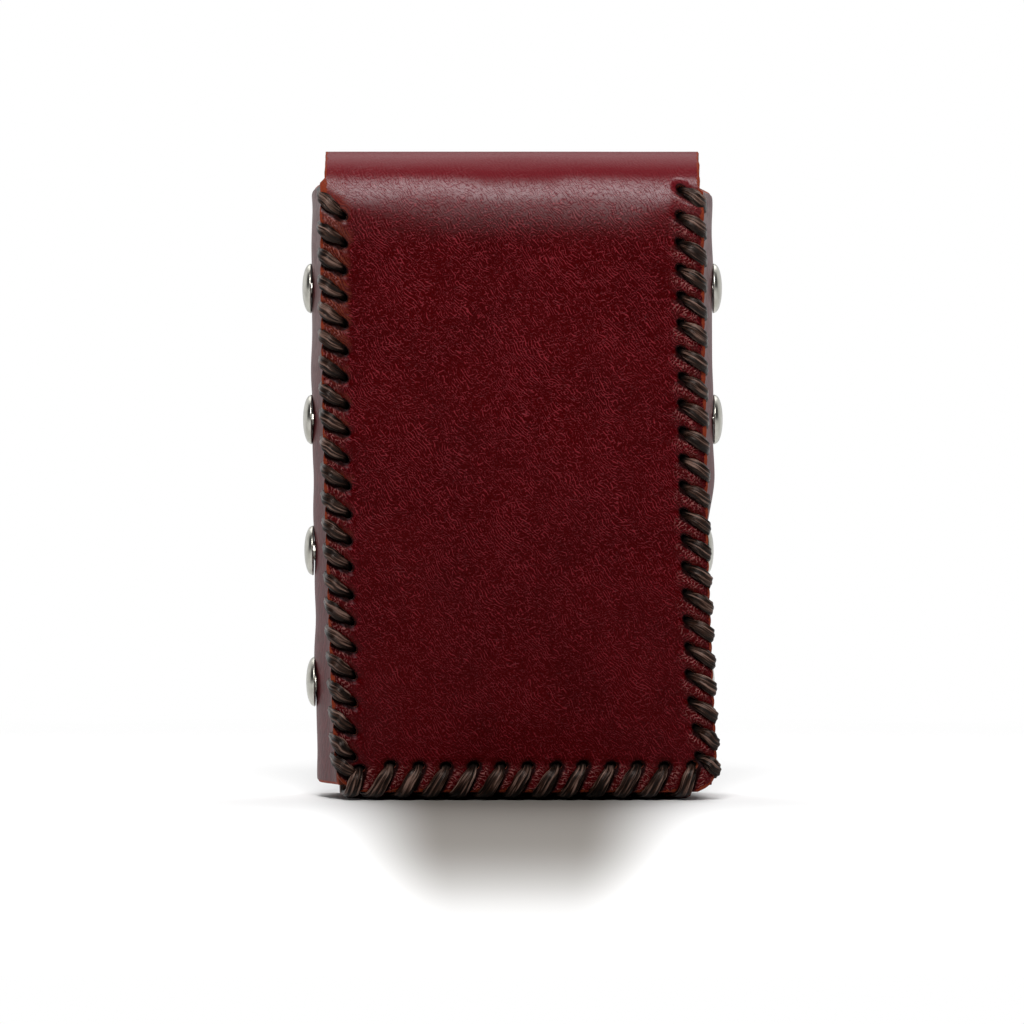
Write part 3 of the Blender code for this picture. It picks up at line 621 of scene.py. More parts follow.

# %% [markdown]
# ## Leather finishes
#
# The grain side is a deep burgundy with fine wrinkles. A wrinkle is a sine wave over the place on the piece,
# bent and broken up by noise: one set flows down to the right, and a weaker one crosses it. Their ridges are
# painted paler, partly as wax on the crests and partly as painted glints, and they thin out towards the foot as
# painted light falling off; the valleys are painted darker, as shade. The ridges are a little glossy, and the
# wax polish under the fold is a thin coat that the valleys lack. Numbers that are kept on each point steer it:
# `rim` at a cut edge, `pull` where a stitch strains the leather, `taut` where the fold has stretched it smooth,
# `lip` and `gather` for the short gathers beside a stitch, whose pale tint is a painted highlight, one for the
# painted shade beside the lace and round each hole, one for painted light from above that reddens the leather
# towards the fold, and `shine` towards the fold.

# %% Grain side
grain_leather, wire, shader = new_material("burgundy_grain", {
    "Specular IOR Level": 0.055, "Specular Tint": (1, 0.74, 0.82, 1), "Coat Roughness": 0.34})
place = wire.millimetres()
swirl = wire.add("TexNoise", inputs={"Vector": place, "Scale": 0.20, "Detail": 2.0}, output=1)
swirl = wire.add("VectorMath", {"operation": "SCALE"}, {0: swirl, 3: 3.2})
warped = wire.add("VectorMath", {"operation": "ADD"}, {0: place, 1: swirl})
across, _, upright = warped.split()
side_here, _, height_here = place.split()
breaks = warped.stretched((0, 50, 0), (1.3, 0.8, 0.7)).noise(1.0, 1.0)
pieces = warped.stretched((0, 42, 0), (0.9, 0.6, 0.5)).noise(1.0, 1.0)
crosses = warped.stretched((0, 5, 0), (0.9, 0.6, 0.5)).noise(1.0, 1.0)
fine = warped.noise(0.25)
patches = place.noise(5.0)
waves = place.noise(11.0)
rim, pull, taut, lip, gather, grime, warm, shine = (
    wire.kept(name) for name in ("rim", "pull", "taut", "lip", "gather", "grime", "warm", "shine"))
phase = across * 11.4 + upright * 9.5 + breaks * 9.0
line = phase.maths("SINE")
cross_phase = upright * 13.2 - across * 3.2 + breaks * 8.0
cross_line = cross_phase.maths("SINE")
# Painted light falling off downward: the pale ridges thin out towards the foot, and their relief lowers with them.
upper = height_here.ramp(0.0, 80.0) * 0.42 + 0.58
long_ridges = line.ramp(0.52, 1.0) * (pieces + (patches - 0.5) * 0.5).ramp(0.45, 0.62)
short_ridges = cross_line.ramp(0.58, 1.0) * crosses.ramp(0.50, 0.66)
# Painted glints: small pale specks over the grain, with a little relief.
glint_dots = fine.ramp(0.60, 0.70)
ridges = long_ridges.maths("MAXIMUM", short_ridges * 0.85).maths("MAXIMUM", glint_dots)
ridges = ridges * upper * (1 - taut * 0.75)
folds = (gather + breaks * 2.0) * 10.0
gathers = folds.maths("SINE").ramp(0.2, 0.95) * lip * pieces.ramp(0.32, 0.56)
bump = (ridges + gathers * 1.5).bump(1.0, 0.000042)
tint = wire.mix(waves.ramp(0.3, 0.7), (0.032, 0.0001, 0.0004), (0.040, 0.0002, 0.0006))
# Painted shade: the wrinkles' valleys are painted darker.
tint = wire.mix((0 - line).ramp(0.2, 0.9) * 0.5, tint, (0.022, 0.0001, 0.0003))
# The ridges are painted pale: partly wax on the crests, partly painted glints of light.
tint = wire.mix(ridges * 0.95, tint, (0.140, 0.010, 0.015))
burnish = (pull + (patches - 0.5) * 0.5 + (breaks - 0.5) * 0.5).ramp(0.35, 1.0)
tint = wire.mix(burnish * 0.75, tint, (0.034, 0.0042, 0.0018))
rubbed = burnish * height_here.ramp(15.0, 60.0) * (0 - side_here).ramp(0.0, 25.0)
tint = wire.mix(rubbed * (0 - line).ramp(-0.9, 0.6) * 0.8, tint, (0.115, 0.021, 0.010))
# Painted highlight: the gathers beside each stitch are painted pale pink, as where they catch the light.
tint = wire.mix(gathers * 0.6, tint, (0.27, 0.105, 0.095))
# Painted light from above: the leather is painted a brighter red towards the fold.
tint = wire.mix(warm * 0.66, tint, (0.138, 0.0105, 0.0155))
# Painted shade: near black under each lace and round each hole, which are also rougher and unpolished there.
tint = wire.mix((grime + (fine - 0.5) * 0.3).ramp(0.15, 0.75) * 0.93, tint, (0.0030, 0.0006, 0.0005))
worn_rim = (rim - grime * 0.5 + (breaks - 0.5) * 0.8 + (fine - 0.5) * 0.3).ramp(0.55, 0.72)
tint = wire.mix(worn_rim, tint, (0.15, 0.022, 0.008))
valleys = (0 - line).ramp(0.1, 0.8) * pieces.ramp(0.36, 0.52)
cross_valleys = (0 - cross_line).ramp(0.2, 0.85) * crosses.ramp(0.44, 0.58)
polished = shine * (1 - taut) * (1 - grime) * (1 - worn_rim)
polish = (polished + taut * 0.26) * (0.285 - valleys.maths("MAXIMUM", cross_valleys * 0.9) * 0.25)
polish = polish + ridges * (1 - polished) * (1 - grime) * 0.065
roughness = 0.25 + fine * 0.05 + worn_rim * 0.35 + taut * 0.13 + grime * 0.2
feed(shader, Base_Color=tint, Roughness=roughness, Normal=bump, Coat_Weight=polish)
print("grain nodes:", len(wire.tree.nodes))

# %% [markdown]
# The gussets are duller: dull red streaks run up them, and towards the top they turn greyish, partly from dust and
# partly as a painted reflection of the pale surroundings.

# %% Gusset grain
gusset_leather, wire, shader = new_material("gusset_grain", {
    "Specular IOR Level": 0.27, "Specular Tint": (1, 0.90, 0.90, 1)})
place = wire.millimetres()
streaks = place.stretched((25, 0, 0), (0.7, 0.7, 1.5)).noise(1.0, 3.0, 0.6)
wrinkles = place.stretched((35, 0, 0), (0.5, 0.35, 1.2)).noise(1.0, 3.0, 0.6)
patches = place.noise(7.0)
bump = (streaks * 0.6 + wrinkles * 0.5 * patches).bump(0.8, 0.00016)
tint = wire.mix(streaks.ramp(0.32, 0.68), (0.050, 0.0024, 0.0042), (0.084, 0.0072, 0.0100))
dust_and_sheen = place.split()[2].ramp(48.0, 94.0)
# Partly dust, partly a painted reflection of the pale surroundings: greyer towards the top.
tint = wire.mix(dust_and_sheen * (streaks + patches).ramp(0.70, 1.25) * 0.85, tint, (0.135, 0.086, 0.084))
worn_rim = (wire.kept("rim") + (wrinkles - 0.5) * 0.4).ramp(0.45, 0.70)
tint = wire.mix(worn_rim, tint, (0.23, 0.036, 0.013))
feed(shader, Base_Color=tint, Roughness=0.46 + wrinkles * 0.15 + worn_rim * 0.25 - dust_and_sheen * 0.06, Normal=bump)
print("gusset nodes:", len(wire.tree.nodes))

# %% [markdown]
# The flesh side is the suede-like inside of the hide. A cut edge shows its orange-brown fibres in layers,
# with dark stains of wax.

# %% Flesh side and raw edges
flesh_leather, wire, shader = new_material("flesh_side", {"Specular IOR Level": 0.2, "Roughness": 0.9})
place = wire.millimetres()
fibre = place.stretched((20, 30, 10), (1.0, 1.0, 3.0)).noise(0.3, 5.0, 0.65)
mottle = place.noise(7.0, 3.0)
tint = wire.mix(fibre, (0.075, 0.024, 0.014), (0.15, 0.058, 0.034))
tint = wire.mix(mottle.ramp(0.45, 0.75) * 0.5, tint, (0.07, 0.016, 0.012))
feed(shader, Base_Color=tint, Normal=fibre.bump(0.6, 0.00015))

raw_leather, wire, shader = new_material("raw_edge", {"Specular IOR Level": 0.25, "Roughness": 0.75})
place = wire.millimetres()
layers = place.stretched((0, 0, 0), (1.0, 1.0, 2.5)).noise(0.25, 4.0, 0.6)
tint = wire.mix(layers, (0.07, 0.010, 0.004), (0.26, 0.048, 0.017))
stains = place.noise(1.8)
tint = wire.mix(stains.ramp(0.44, 0.62) * 0.8, tint, (0.030, 0.005, 0.003))
feed(shader, Base_Color=tint, Normal=layers.bump(0.6, 0.00012))
print("leather finishes:", [m.name for m in (grain_leather, gusset_leather, flesh_leather, raw_leather)])

# %% [markdown]
# ## The back and the flap
#
# On the real case the back runs over the top and becomes the flap, in one sheet. It crosses two folds, and
# a piece can bend between two bodies only. Here the sheet is parted in the flat of the top, where nothing
# bends. Both halves are shaped by one function, so they meet.

# %% How the stitches shape a panel
def edge_distance(beside, along, radius, top=np.inf):
    """How far a place is from the cut edge of a sheet with rounded lower corners, from its distances beside it."""
    corner_x = np.clip(radius - beside, 0, None)
    corner_z = np.clip(radius - along, 0, None)
    near_corner = radius - np.hypot(corner_x, corner_z)
    straight = np.minimum(np.minimum(beside, along), top - along)
    return np.where((corner_x > 0) & (corner_z > 0), near_corner, straight)


def keep_more(values, near, new):
    values[near] = np.maximum(values[near], new)


def strain(across, along, stitches):
    """How the stitches shape a panel: height, pull, lip, gather, hole rim, notch depth and painted shade beside
    the lace.
    """
    names = ("height", "pull", "lip", "gather", "hole_rim", "notch", "grime")
    field = {name: np.zeros_like(across) for name in names}
    for stitch in stitches:
        hole_x, hole_z = hole_of(stitch)
        cross_x, cross_z = crossing_of(stitch)
        hole_z, cross_z = hole_z - PANEL_FOOT, cross_z - PANEL_FOOT
        near = np.hypot(across - hole_x, along - hole_z) < 8 * MM
        dx, dz = across[near] - hole_x, along[near] - hole_z
        lace = np.array([cross_x - hole_x, cross_z - hole_z])
        length = np.hypot(*lace)
        lace = lace / length
        above = np.array([-lace[1], lace[0]])
        above = above if above[1] > 0 else -above
        run = dx * lace[0] + dz * lace[1]
        off = dx * above[0] + dz * above[1]
        angle, hole_length, hole_width = hole_shape(stitch)
        lengthwise = dx * math.cos(angle) + dz * math.sin(angle)
        sideways = dz * math.cos(angle) - dx * math.sin(angle)
        oval = np.hypot(lengthwise / hole_length, sideways / hole_width) * 2
        beyond = np.clip(oval - 1, 0, None)
        pit = bell(beyond, 0.55)
        under = bell(off, 1.30 * MM) * ease(run, 0, 1.6 * MM)
        below = bell(-off - 1.75 * MM, 0.80 * MM)
        reach = ease(run, -1.6 * MM, 0.2 * MM) * ease(run, length + 0.3 * MM, length - 0.9 * MM)
        field["height"][near] += 0.16 * MM * below * reach - 0.42 * MM * under * (1 - pit) - 0.48 * MM * pit
        keep_more(field["pull"], near, bell(off, 2.2 * MM) * ease(run, -2.6 * MM, 0.4 * MM))
        # Painted shade: a dark band just under the lace, and a ring round each hole.
        grime = bell(-off - 0.95 * MM, 0.42 * MM) * reach
        keep_more(field["grime"], near, np.maximum(grime, bell(beyond, 0.22)))
        closer = below * reach > field["lip"][near]
        field["lip"][near] = np.where(closer, below * reach, field["lip"][near])
        field["gather"][near] = np.where(closer, (run - 0.35 * off) / MM, field["gather"][near])
        ring = bell(oval - 1.04, 0.20) * (0.66 if stitch[2] == "left" else 0.50)
        keep_more(field["hole_rim"], near, ring * ease(run, 0.5 * MM, -0.4 * MM))
        from_crossing = np.hypot(across[near] - cross_x, along[near] - cross_z)
        keep_more(field["notch"], near, bell(from_crossing, 1.25 * MM))
    return field


def shape_panel(sheet, stitches, top, seed, bend):
    """Shapes a punched flat panel and bends it. bend turns across, along and lift into x, y, z rows."""
    across, along, depth = points_of(sheet).T
    edge = edge_distance(PANEL_HALF - np.abs(across), along, CORNER_RADIUS, top)
    field = strain(across, along, stitches)
    # The panel's own form: a low crown, slight waves and rounded edges
    crown = 0.45 * MM * ease(edge, 3.4 * MM, 12 * MM) + 0.28 * MM * ease(edge, 0.3 * MM, 2.4 * MM)
    waves = 0.10 * MM * ripples(across, along, (14 * MM, 34 * MM), 9, seed) * ease(edge, 3 * MM, 12 * MM)
    rounding = 0.55 * MM * (1 - ease(edge, -0.2 * MM, 0.9 * MM)) ** 1.5
    height = field["height"] + crown + waves - rounding - 0.28 * MM
    # Over the fold it lies taut, sags a little and droops at both ends
    over_fold = ease(along, RISE - 1 * MM, RISE + 6 * MM)
    calm = ease(along, PARTING - 3 * MM, PARTING - 9 * MM)
    rolled = ease(along, RISE + 11 * MM, RISE + 17 * MM)
    sag = 0.07 * MM * ripples(across * 0.42, along, (8 * MM, 13 * MM), 6, 31) * (1 - 0.8 * rolled)
    droop = 0.95 - 1.95 * ease(across, 2 * MM, -30 * MM) - 0.75 * ease(across, 14 * MM, 31 * MM)
    hollow = ease(along, RISE - 2 * MM, RISE + 9 * MM) * ease(along, RISE + 18 * MM, RISE + 9 * MM)
    height = height * (1 - over_fold) + over_fold * (field["height"] + (sag + 0.22 * MM) * calm)
    height -= 0.25 * MM * droop * hollow
    # The laces notch its edges
    skin = np.clip(1 + depth / LEATHER, 0, 1)
    inward = (0.30 * MM * field["notch"] - 0.12 * MM) * ease(edge, 2.2 * MM, 0)
    beside = np.abs(across) > PANEL_HALF - 3 * MM
    low = (along < 3 * MM) & ~beside
    across = across - np.sign(across) * inward * beside
    along = along + inward * low
    rim = np.maximum(fading(edge, 1.3 * MM), field["hole_rim"])
    rim = np.where(along > 96 * MM - PANEL_FOOT, fading(FLAP_HALF - np.abs(across), 0.7 * MM), rim)
    left_burnish = 0.5 * ease(-across, 22 * MM, 29 * MM) * ease(along, 58 * MM, 82 * MM)
    wander = 0.6 * MM * ripples(across, along * 0.3, (2 * MM, 17 * MM), 12, 33) + 0.8 * MM * droop
    keep(sheet, rim=rim * skin, pull=np.clip(field["pull"] * 0.8 + left_burnish, 0, 1) * skin,
         # painted shade beside the lace and round the holes
         lip=field["lip"] * skin, gather=field["gather"], grime=field["grime"] * skin,
         taut=ease(along + wander, RISE + 9.4 * MM, RISE + 12.4 * MM),
         # painted light from above, brighter towards the fold
         warm=ease(along, RISE + 1 * MM, RISE + 13 * MM),
         shine=ease(along, RISE - 2 * MM, RISE + 5 * MM))
    set_points(sheet, bend(across, along, depth + height * skin))


print(f"sheet: {SHEET_END / MM:.1f} mm long, parted at {PARTING / MM:.1f} mm")

# %% Cutting the back
LEFT_SHOULDER = 98.5 * MM - PANEL_FOOT
RIGHT_SHOULDER = 96.9 * MM - PANEL_FOOT
columns = columns_across(30.4, 9, 0.30, 0.6)
back_rows = spaced(0, PARTING, [
    (1.5 * MM, 0.15 * MM), (RISE + 9 * MM, 0.34 * MM), (RISE + 20 * MM, 0.4 * MM), (PARTING, 0.8 * MM)])


def back_half_width(along, side):
    half = rounded_half(0, PANEL_HALF, CORNER_RADIUS, along)
    shoulder = np.where(side < 0, LEFT_SHOULDER, RIGHT_SHOULDER)
    fray = 0.07 * MM * ripples(along, side * 9 * MM, (1.6 * MM, 6 * MM), 7, 12)
    fray = fray * ease(along, shoulder, shoulder + 1 * MM)
    fray = fray * ease(along, PARTING, PARTING - 4 * MM)
    return half + fray - (PANEL_HALF - FLAP_HALF) * ease(along, shoulder - 0.3 * MM, shoulder + 0.3 * MM)


def bend_back(across, along, lift):
    y, z, normal_y, normal_z = over_folds(along)
    return settle(np.stack([across, y + normal_y * lift, z + normal_z * lift], 1), leans_back=False)


back_sheet = cut_sheet("back_leather", columns, back_rows, back_half_width, LEATHER)
punch(back_sheet, stitch_holes(back_stitches), LEATHER)
face_materials(back_sheet, LEATHER, grain_leather)
shape_panel(back_sheet, back_stitches, np.inf, 3, bend_back)
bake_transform(back_sheet)
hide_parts("back_panel", "flap_top")
print("back leather:", len(back_sheet.data.polygons), "faces")

# %% [markdown]
# The flap's half has no laces. It is cut with large rounded corners, and the cap of the press stud presses it
# flat where it is punched.

# %% The flap's front half
FLAP_TURN = SHEET_END - DROP
flap_columns = columns_across(30, 2, 0.3, 0.7)
flap_rows = spaced(PARTING, SHEET_END, [
    (FLAP_TURN, 0.6 * MM), (SHEET_END - 12 * MM, 0.8 * MM),
    (SHEET_END - 1.5 * MM, 0.5 * MM), (SHEET_END, 0.15 * MM)])


def flap_half_width(along, side):
    fray = 0.05 * MM * ripples(along, side * 9 * MM, (1.6 * MM, 6 * MM), 7, 13)
    half = rounded_half(0, FLAP_HALF, FLAP_CORNER_RADIUS, SHEET_END - along)
    return half + fray * ease(along, PARTING, PARTING + 4 * MM)


flap_sheet = cut_sheet("flap_leather", flap_columns, flap_rows, flap_half_width, LEATHER)
SNAP_HEIGHT = (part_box("snap_cap")[0].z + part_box("snap_cap")[1].z) / 2
snap_along = FLAP_TURN + (FOLD_Z - SNAP_HEIGHT)
punch(flap_sheet, [(0, snap_along, 0, 3 * MM, 3 * MM), (0, snap_along, 0, 3 * MM, 3 * MM)], LEATHER)
face_materials(flap_sheet, LEATHER, grain_leather)
across, along, depth = points_of(flap_sheet).T
edge = edge_distance(FLAP_HALF - np.abs(across), SHEET_END - along, FLAP_CORNER_RADIUS)
away = ease(along, PARTING, PARTING + 6 * MM)
height = -0.5 * MM * away * (1 - ease(edge, -0.2 * MM, 0.9 * MM)) ** 1.5
waviness = 0.15 * MM * ripples(across, along, (16 * MM, 40 * MM), 8, 5)
height += waviness * ease(along, PARTING + 3 * MM, PARTING + 14 * MM)
height -= 0.25 * MM * np.exp(-(np.hypot(across, along - snap_along) / (7.4 * MM)) ** 6)
skin = np.clip(1 + depth / LEATHER, 0, 1)
keep(flap_sheet, rim=fading(edge, (0.7 + 0.6 * away) * MM) * skin,
     taut=ease(along, FLAP_TURN + 1 * MM, FLAP_TURN - 4 * MM),
     # painted light from above on the flap, brighter towards its fold
     warm=ease(along, FLAP_TURN + 9 * MM, FLAP_TURN - 4 * MM))
set_points(flap_sheet, bend_back(across, along, depth + height * skin))
turn_start = (0, FLAP_FACE - FOLD_RADIUS, CASE_TOP)
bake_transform(flap_sheet)
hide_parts("flap_front")
print("flap leather:", len(flap_sheet.data.polygons), "faces")

# %% [markdown]
# ## The front panel
#
# The front panel is cut and laced as the back is, and then turned half round the case's upright middle line.

# %% Front panel
FRONT_RISE = FRONT_TOP - PANEL_FOOT
front_rows = spaced(0, FRONT_RISE, [
    (1.5 * MM, 0.15 * MM), (FRONT_RISE - 1.5 * MM, 0.36 * MM), (FRONT_RISE, 0.15 * MM)])


def turn_round(points):
    """Turns points half round the case's upright middle line."""
    turned = np.array(points, float)
    turned[:, 0] = -turned[:, 0]
    turned[:, 1] = 2 * MIDDLE_Y - turned[:, 1]
    return turned


def front_half_width(along, side):
    return rounded_half(0, PANEL_HALF, CORNER_RADIUS, along)


def bend_front(across, along, lift):
    """Bends the panel, which lies flat under the press stud."""
    near_stud = ease(np.hypot(across, along - SNAP_HEIGHT + PANEL_FOOT), 13 * MM, 7 * MM)
    level = np.where(lift > -0.5 * LEATHER, 0, -LEATHER)
    lift = np.where(np.abs(lift - level) < 0.9 * MM, lift * (1 - near_stud) + level * near_stud, lift)
    return settle(turn_round(np.stack([across, BACK_FACE - lift, PANEL_FOOT + along], 1)))


front_sheet = cut_sheet("front_leather", columns, front_rows, front_half_width, LEATHER)
stud_hole = (0, SNAP_HEIGHT - PANEL_FOOT, 0, 3 * MM, 3 * MM)
punch(front_sheet, stitch_holes(front_stitches, 0.72) + [stud_hole], LEATHER)
face_materials(front_sheet, LEATHER, grain_leather)
shape_panel(front_sheet, front_stitches, FRONT_RISE, 11, bend_front)
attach(front_sheet, "case_body")
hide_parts("front_panel")
print("front leather:", len(front_sheet.data.polygons), "faces")

# %% [markdown]
# ## The gussets
#
# A side gusset is a straight strip that the packet has pushed out to a bulge. Its raw upper end stays high
# behind the back panel and falls off towards the front. It is punched flat, for both laces, and then bent.

# %% Side gussets
GUSSET_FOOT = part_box("left_gusset")[0].z
GUSSET_TOP_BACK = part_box("left_gusset")[1].z
GUSSET_FALL = 4.9 * MM
# For each side: how much higher the raw end is at the back, how late it falls off, and the slice off its tip
GUSSET_ENDS = {-1: (1.9 * MM, 3, 0.3 * MM), 1: (0.6 * MM, 3.6, 0.45 * MM)}


def gusset_holes(side):
    """Holes of one side gusset as (depth from the middle, height); side is -1 at the left."""
    found = []
    for stitches, facing in ((back_stitches, -1), (front_stitches, 1)):
        for x, z, kind, slant in stitches:
            if kind == ("left" if side * facing > 0 else "right"):
                climb = slant if kind == "left" else -slant
                found.append((facing * (GUSSET_HALF - GUSSET_INSET), z + climb))
    return found


def gusset_top(depth, side):
    """The height of the raw upper end."""
    extra, lateness, slice_depth = GUSSET_ENDS[side]
    share = (depth + GUSSET_HALF) / (2 * GUSSET_HALF)
    top = GUSSET_TOP_BACK + extra * (1 - share)
    sliced = slice_depth * ease(depth, -GUSSET_HALF + 3.2 * MM, -GUSSET_HALF)
    return top - GUSSET_FALL * np.clip(share, 0, 1) ** lateness - sliced


gusset_columns = spaced(-1, 1, [(-0.72, 0.03), (1, 0.045)])
gusset_rows = spaced(0, 1, [(0.96, 0.0052), (1, 0.0025)])
gusset_faces = []
for side, name in ((-1, "left_gusset"), (1, "right_gusset")):
    sheet = cut_sheet(name + "_leather", gusset_columns, gusset_rows, lambda *_: GUSSET_HALF, GUSSET_LEATHER)
    flat = points_of(sheet)
    flat[:, 1] = GUSSET_FOOT + flat[:, 1] * (gusset_top(flat[:, 0], side) - GUSSET_FOOT)
    set_points(sheet, flat)
    holes = []
    for depth, height in gusset_holes(side):
        if GUSSET_FOOT + 1.5 * MM < height < gusset_top(depth, side) - 1.3 * MM:
            holes.append((depth, height, math.radians(90), 1.3 * MM, 0.9 * MM))
    punch(sheet, holes, GUSSET_LEATHER)
    face_materials(sheet, GUSSET_LEATHER, gusset_leather)
    across, upright, depth = points_of(sheet).T
    share = across / GUSSET_HALF
    bulge = GUSSET_EDGE_X + GUSSET_BULGE * (1 - share ** 2) ** 2
    slope = -4 * GUSSET_BULGE * share * (1 - share ** 2) / GUSSET_HALF
    length = np.hypot(1, slope)
    top = gusset_top(across, side)
    edge = np.minimum(np.minimum(GUSSET_HALF - np.abs(across), top - upright), upright - GUSSET_FOOT)
    wave = 0.13 * MM * ripples(across, upright, (9 * MM, 26 * MM), 9, 21 + side) * ease(edge, 0, 4 * MM)
    skin = np.clip(1 + depth / GUSSET_LEATHER, 0, 1)
    lift = depth + wave - skin * 0.35 * MM * (1 - ease(edge, -0.1 * MM, 0.6 * MM))
    x = side * (bulge + lift / length)
    y = MIDDLE_Y + across - lift * slope / length
    upright = upright - skin * 0.65 * MM * ease(upright, top - 2 * MM, top)
    keep(sheet, rim=fading(edge, 0.9 * MM) * skin)
    set_points(sheet, settle(np.stack([x, y, upright], 1)))
    if side > 0:
        sheet.data.flip_normals()
    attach(sheet, "case_body")
    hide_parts(name)
    gusset_faces.append(len(sheet.data.polygons))
print("gussets:", gusset_faces, "faces")

# %% [markdown]
# The base strip has level shoulders for the lace. Its middle hangs lower, and the case stands on it.

# %% Base strip
BASE_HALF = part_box("bottom_gusset")[1].x
base_rows = spaced(-GUSSET_HALF, GUSSET_HALF, [(GUSSET_HALF, 0.5 * MM)])
base_columns = spaced(-1, 1, [(1, 0.012)])
base_sheet = cut_sheet("base_leather", base_columns, base_rows, lambda *_: BASE_HALF, GUSSET_LEATHER)
holes = []
for stitches, turn in ((back_stitches, 1), (front_stitches, -1)):
    for x, z, kind, slant in stitches:
        if kind == "foot":
            holes.append((turn * (x - slant), -turn * (GUSSET_HALF - GUSSET_INSET), 0.0, 1.9 * MM, 1.3 * MM))
punch(base_sheet, holes, GUSSET_LEATHER)
face_materials(base_sheet, GUSSET_LEATHER, gusset_leather)
across, deep, depth = points_of(base_sheet).T
hang = PANEL_FOOT * ease(np.abs(deep), 6.2 * MM, 8.6 * MM)
edge = np.minimum(BASE_HALF - np.abs(across), GUSSET_HALF - np.abs(deep))
skin = np.clip(1 + depth / GUSSET_LEATHER, 0, 1)
softened = skin * 0.3 * MM * (1 - ease(edge, -0.1 * MM, 0.6 * MM))
keep(base_sheet, rim=fading(edge, 0.9 * MM) * skin)
set_points(base_sheet, settle(np.stack([across, MIDDLE_Y + deep, hang - depth + softened], 1)))
base_sheet.data.flip_normals()
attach(base_sheet, "case_body")
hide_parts("bottom_gusset")
print("base strip:", len(base_sheet.data.polygons), "faces")

# %% [markdown]
# ## The lace
#
# The lace is a flat waxed cord about 2 mm wide, made of long fibres that are bunched where it dives into a
# hole. It is swept along a smooth line through all its stitches. The section has shallow lobes that drift
# along the lace, which are its strands, and a UV map runs along it so that the finish can follow the fibres.

# %% The way of the lace
LACE_HALF_WIDTH = 1.0 * MM
LACE_HALF_THICKNESS = 0.56 * MM
INNER_FACE = BACK_FACE + LEATHER
GUSSET_LINE_Y = MIDDLE_Y - GUSSET_HALF + GUSSET_INSET
GUSSET_LINE_X = GUSSET_EDGE_X + GUSSET_BULGE * (1 - ((GUSSET_HALF - GUSSET_INSET) / GUSSET_HALF) ** 2) ** 2


def unit(vector):
    return np.array(vector, float) / np.linalg.norm(vector)


def side_knots(x, z, kind, slant):
    """One side stitch, from inside the gusset to inside the panel, as (point, width, squeeze) rows."""
    out = -1 if kind == "left" else 1
    climb, run, edge_x = -out * slant, out * PANEL_HALF - x, out * PANEL_HALF
    up = (0, 0, 1)
    level = unit((-climb * CROSSING_SHARE * np.sign(run), 0, abs(run)))
    turning = unit(level + np.array([0, -0.2, 0.9]))
    return [
        ((out * (GUSSET_LINE_X - 2.5 * MM), GUSSET_LINE_Y + 0.2 * MM, z + climb), up, 0.75),
        ((out * (GUSSET_LINE_X - 0.7 * MM), GUSSET_LINE_Y, z + climb), up, 0.56),
        ((out * (GUSSET_LINE_X + 0.04 * MM), GUSSET_LINE_Y - 0.7 * MM, z + climb * 0.96), up, 0.66),
        ((edge_x - out * 0.04 * MM, BACK_FACE + 1.5 * MM, z + climb * 0.80), turning, 0.86),
        ((edge_x - out * 0.20 * MM, BACK_FACE + 0.40 * MM, z + climb * 0.66), turning, 0.96),
        ((edge_x - out * 0.85 * MM, BACK_FACE - 0.26 * MM, z + climb * 0.48), level, 1.0),
        ((x + run * 0.50, BACK_FACE - 0.36 * MM, z + climb * 0.28), level, 1.0),
        ((x + run * 0.22, BACK_FACE - 0.12 * MM, z + climb * 0.12), level, 0.86),
        ((x + run * 0.02, BACK_FACE + 0.66 * MM, z + climb * 0.01), unit(level + np.array(up)), 0.66),
        ((x - out * 0.45 * MM, INNER_FACE + 0.35 * MM, z + out * 0.20 * MM), up, 1.10),
        ((x - out * 0.30 * MM, INNER_FACE + 0.95 * MM, z + out * 0.25 * MM), up, 1.20),
        ((x + out * 0.8 * MM, INNER_FACE + 0.8 * MM, z + climb * 0.08), up, 1.0),
    ]


def foot_knots(x, z, kind, slant):
    """One foot stitch, from inside the base strip to inside the panel."""
    rise = z - PANEL_FOOT
    along = (1, 0, 0)
    level = unit((rise, 0, -slant * CROSSING_SHARE))
    turning = unit(level + np.array([0.9, -0.2, 0]))
    return [
        ((x - slant, GUSSET_LINE_Y, PANEL_FOOT + 2.5 * MM), along, 0.75),
        ((x - slant, GUSSET_LINE_Y, PANEL_FOOT + 0.6 * MM), along, 0.66),
        ((x - slant * 0.96, GUSSET_LINE_Y - 0.7 * MM, PANEL_FOOT - 0.24 * MM), along, 0.80),
        ((x - slant * 0.80, BACK_FACE + 1.5 * MM, PANEL_FOOT - 0.30 * MM), turning, 0.95),
        ((x - slant * 0.68, BACK_FACE + 0.40 * MM, PANEL_FOOT - 0.02 * MM), turning, 1.0),
        ((x - slant * 0.52, BACK_FACE - 0.26 * MM, PANEL_FOOT + 0.7 * MM), level, 1.0),
        ((x - slant * 0.34, BACK_FACE - 0.34 * MM, PANEL_FOOT + rise * 0.48), level, 1.0),
        ((x - slant * 0.14, BACK_FACE - 0.12 * MM, PANEL_FOOT + rise * 0.76), level, 0.88),
        ((x, BACK_FACE + 0.66 * MM, z - 0.1 * MM), along, 0.68),
        ((x + 0.1 * MM, INNER_FACE + 0.35 * MM, z + 0.4 * MM), along, 1.10),
        ((x + 0.1 * MM, INNER_FACE + 0.95 * MM, z + 0.3 * MM), along, 1.20),
        ((x, INNER_FACE + 0.8 * MM, z - 0.8 * MM), along, 1.0),
    ]


def lace_knots(stitches):
    """The lace's middle line through all its stitches."""
    knots = []
    for stitch in stitches:
        knots += foot_knots(*stitch) if stitch[2] == "foot" else side_knots(*stitch)
    return knots


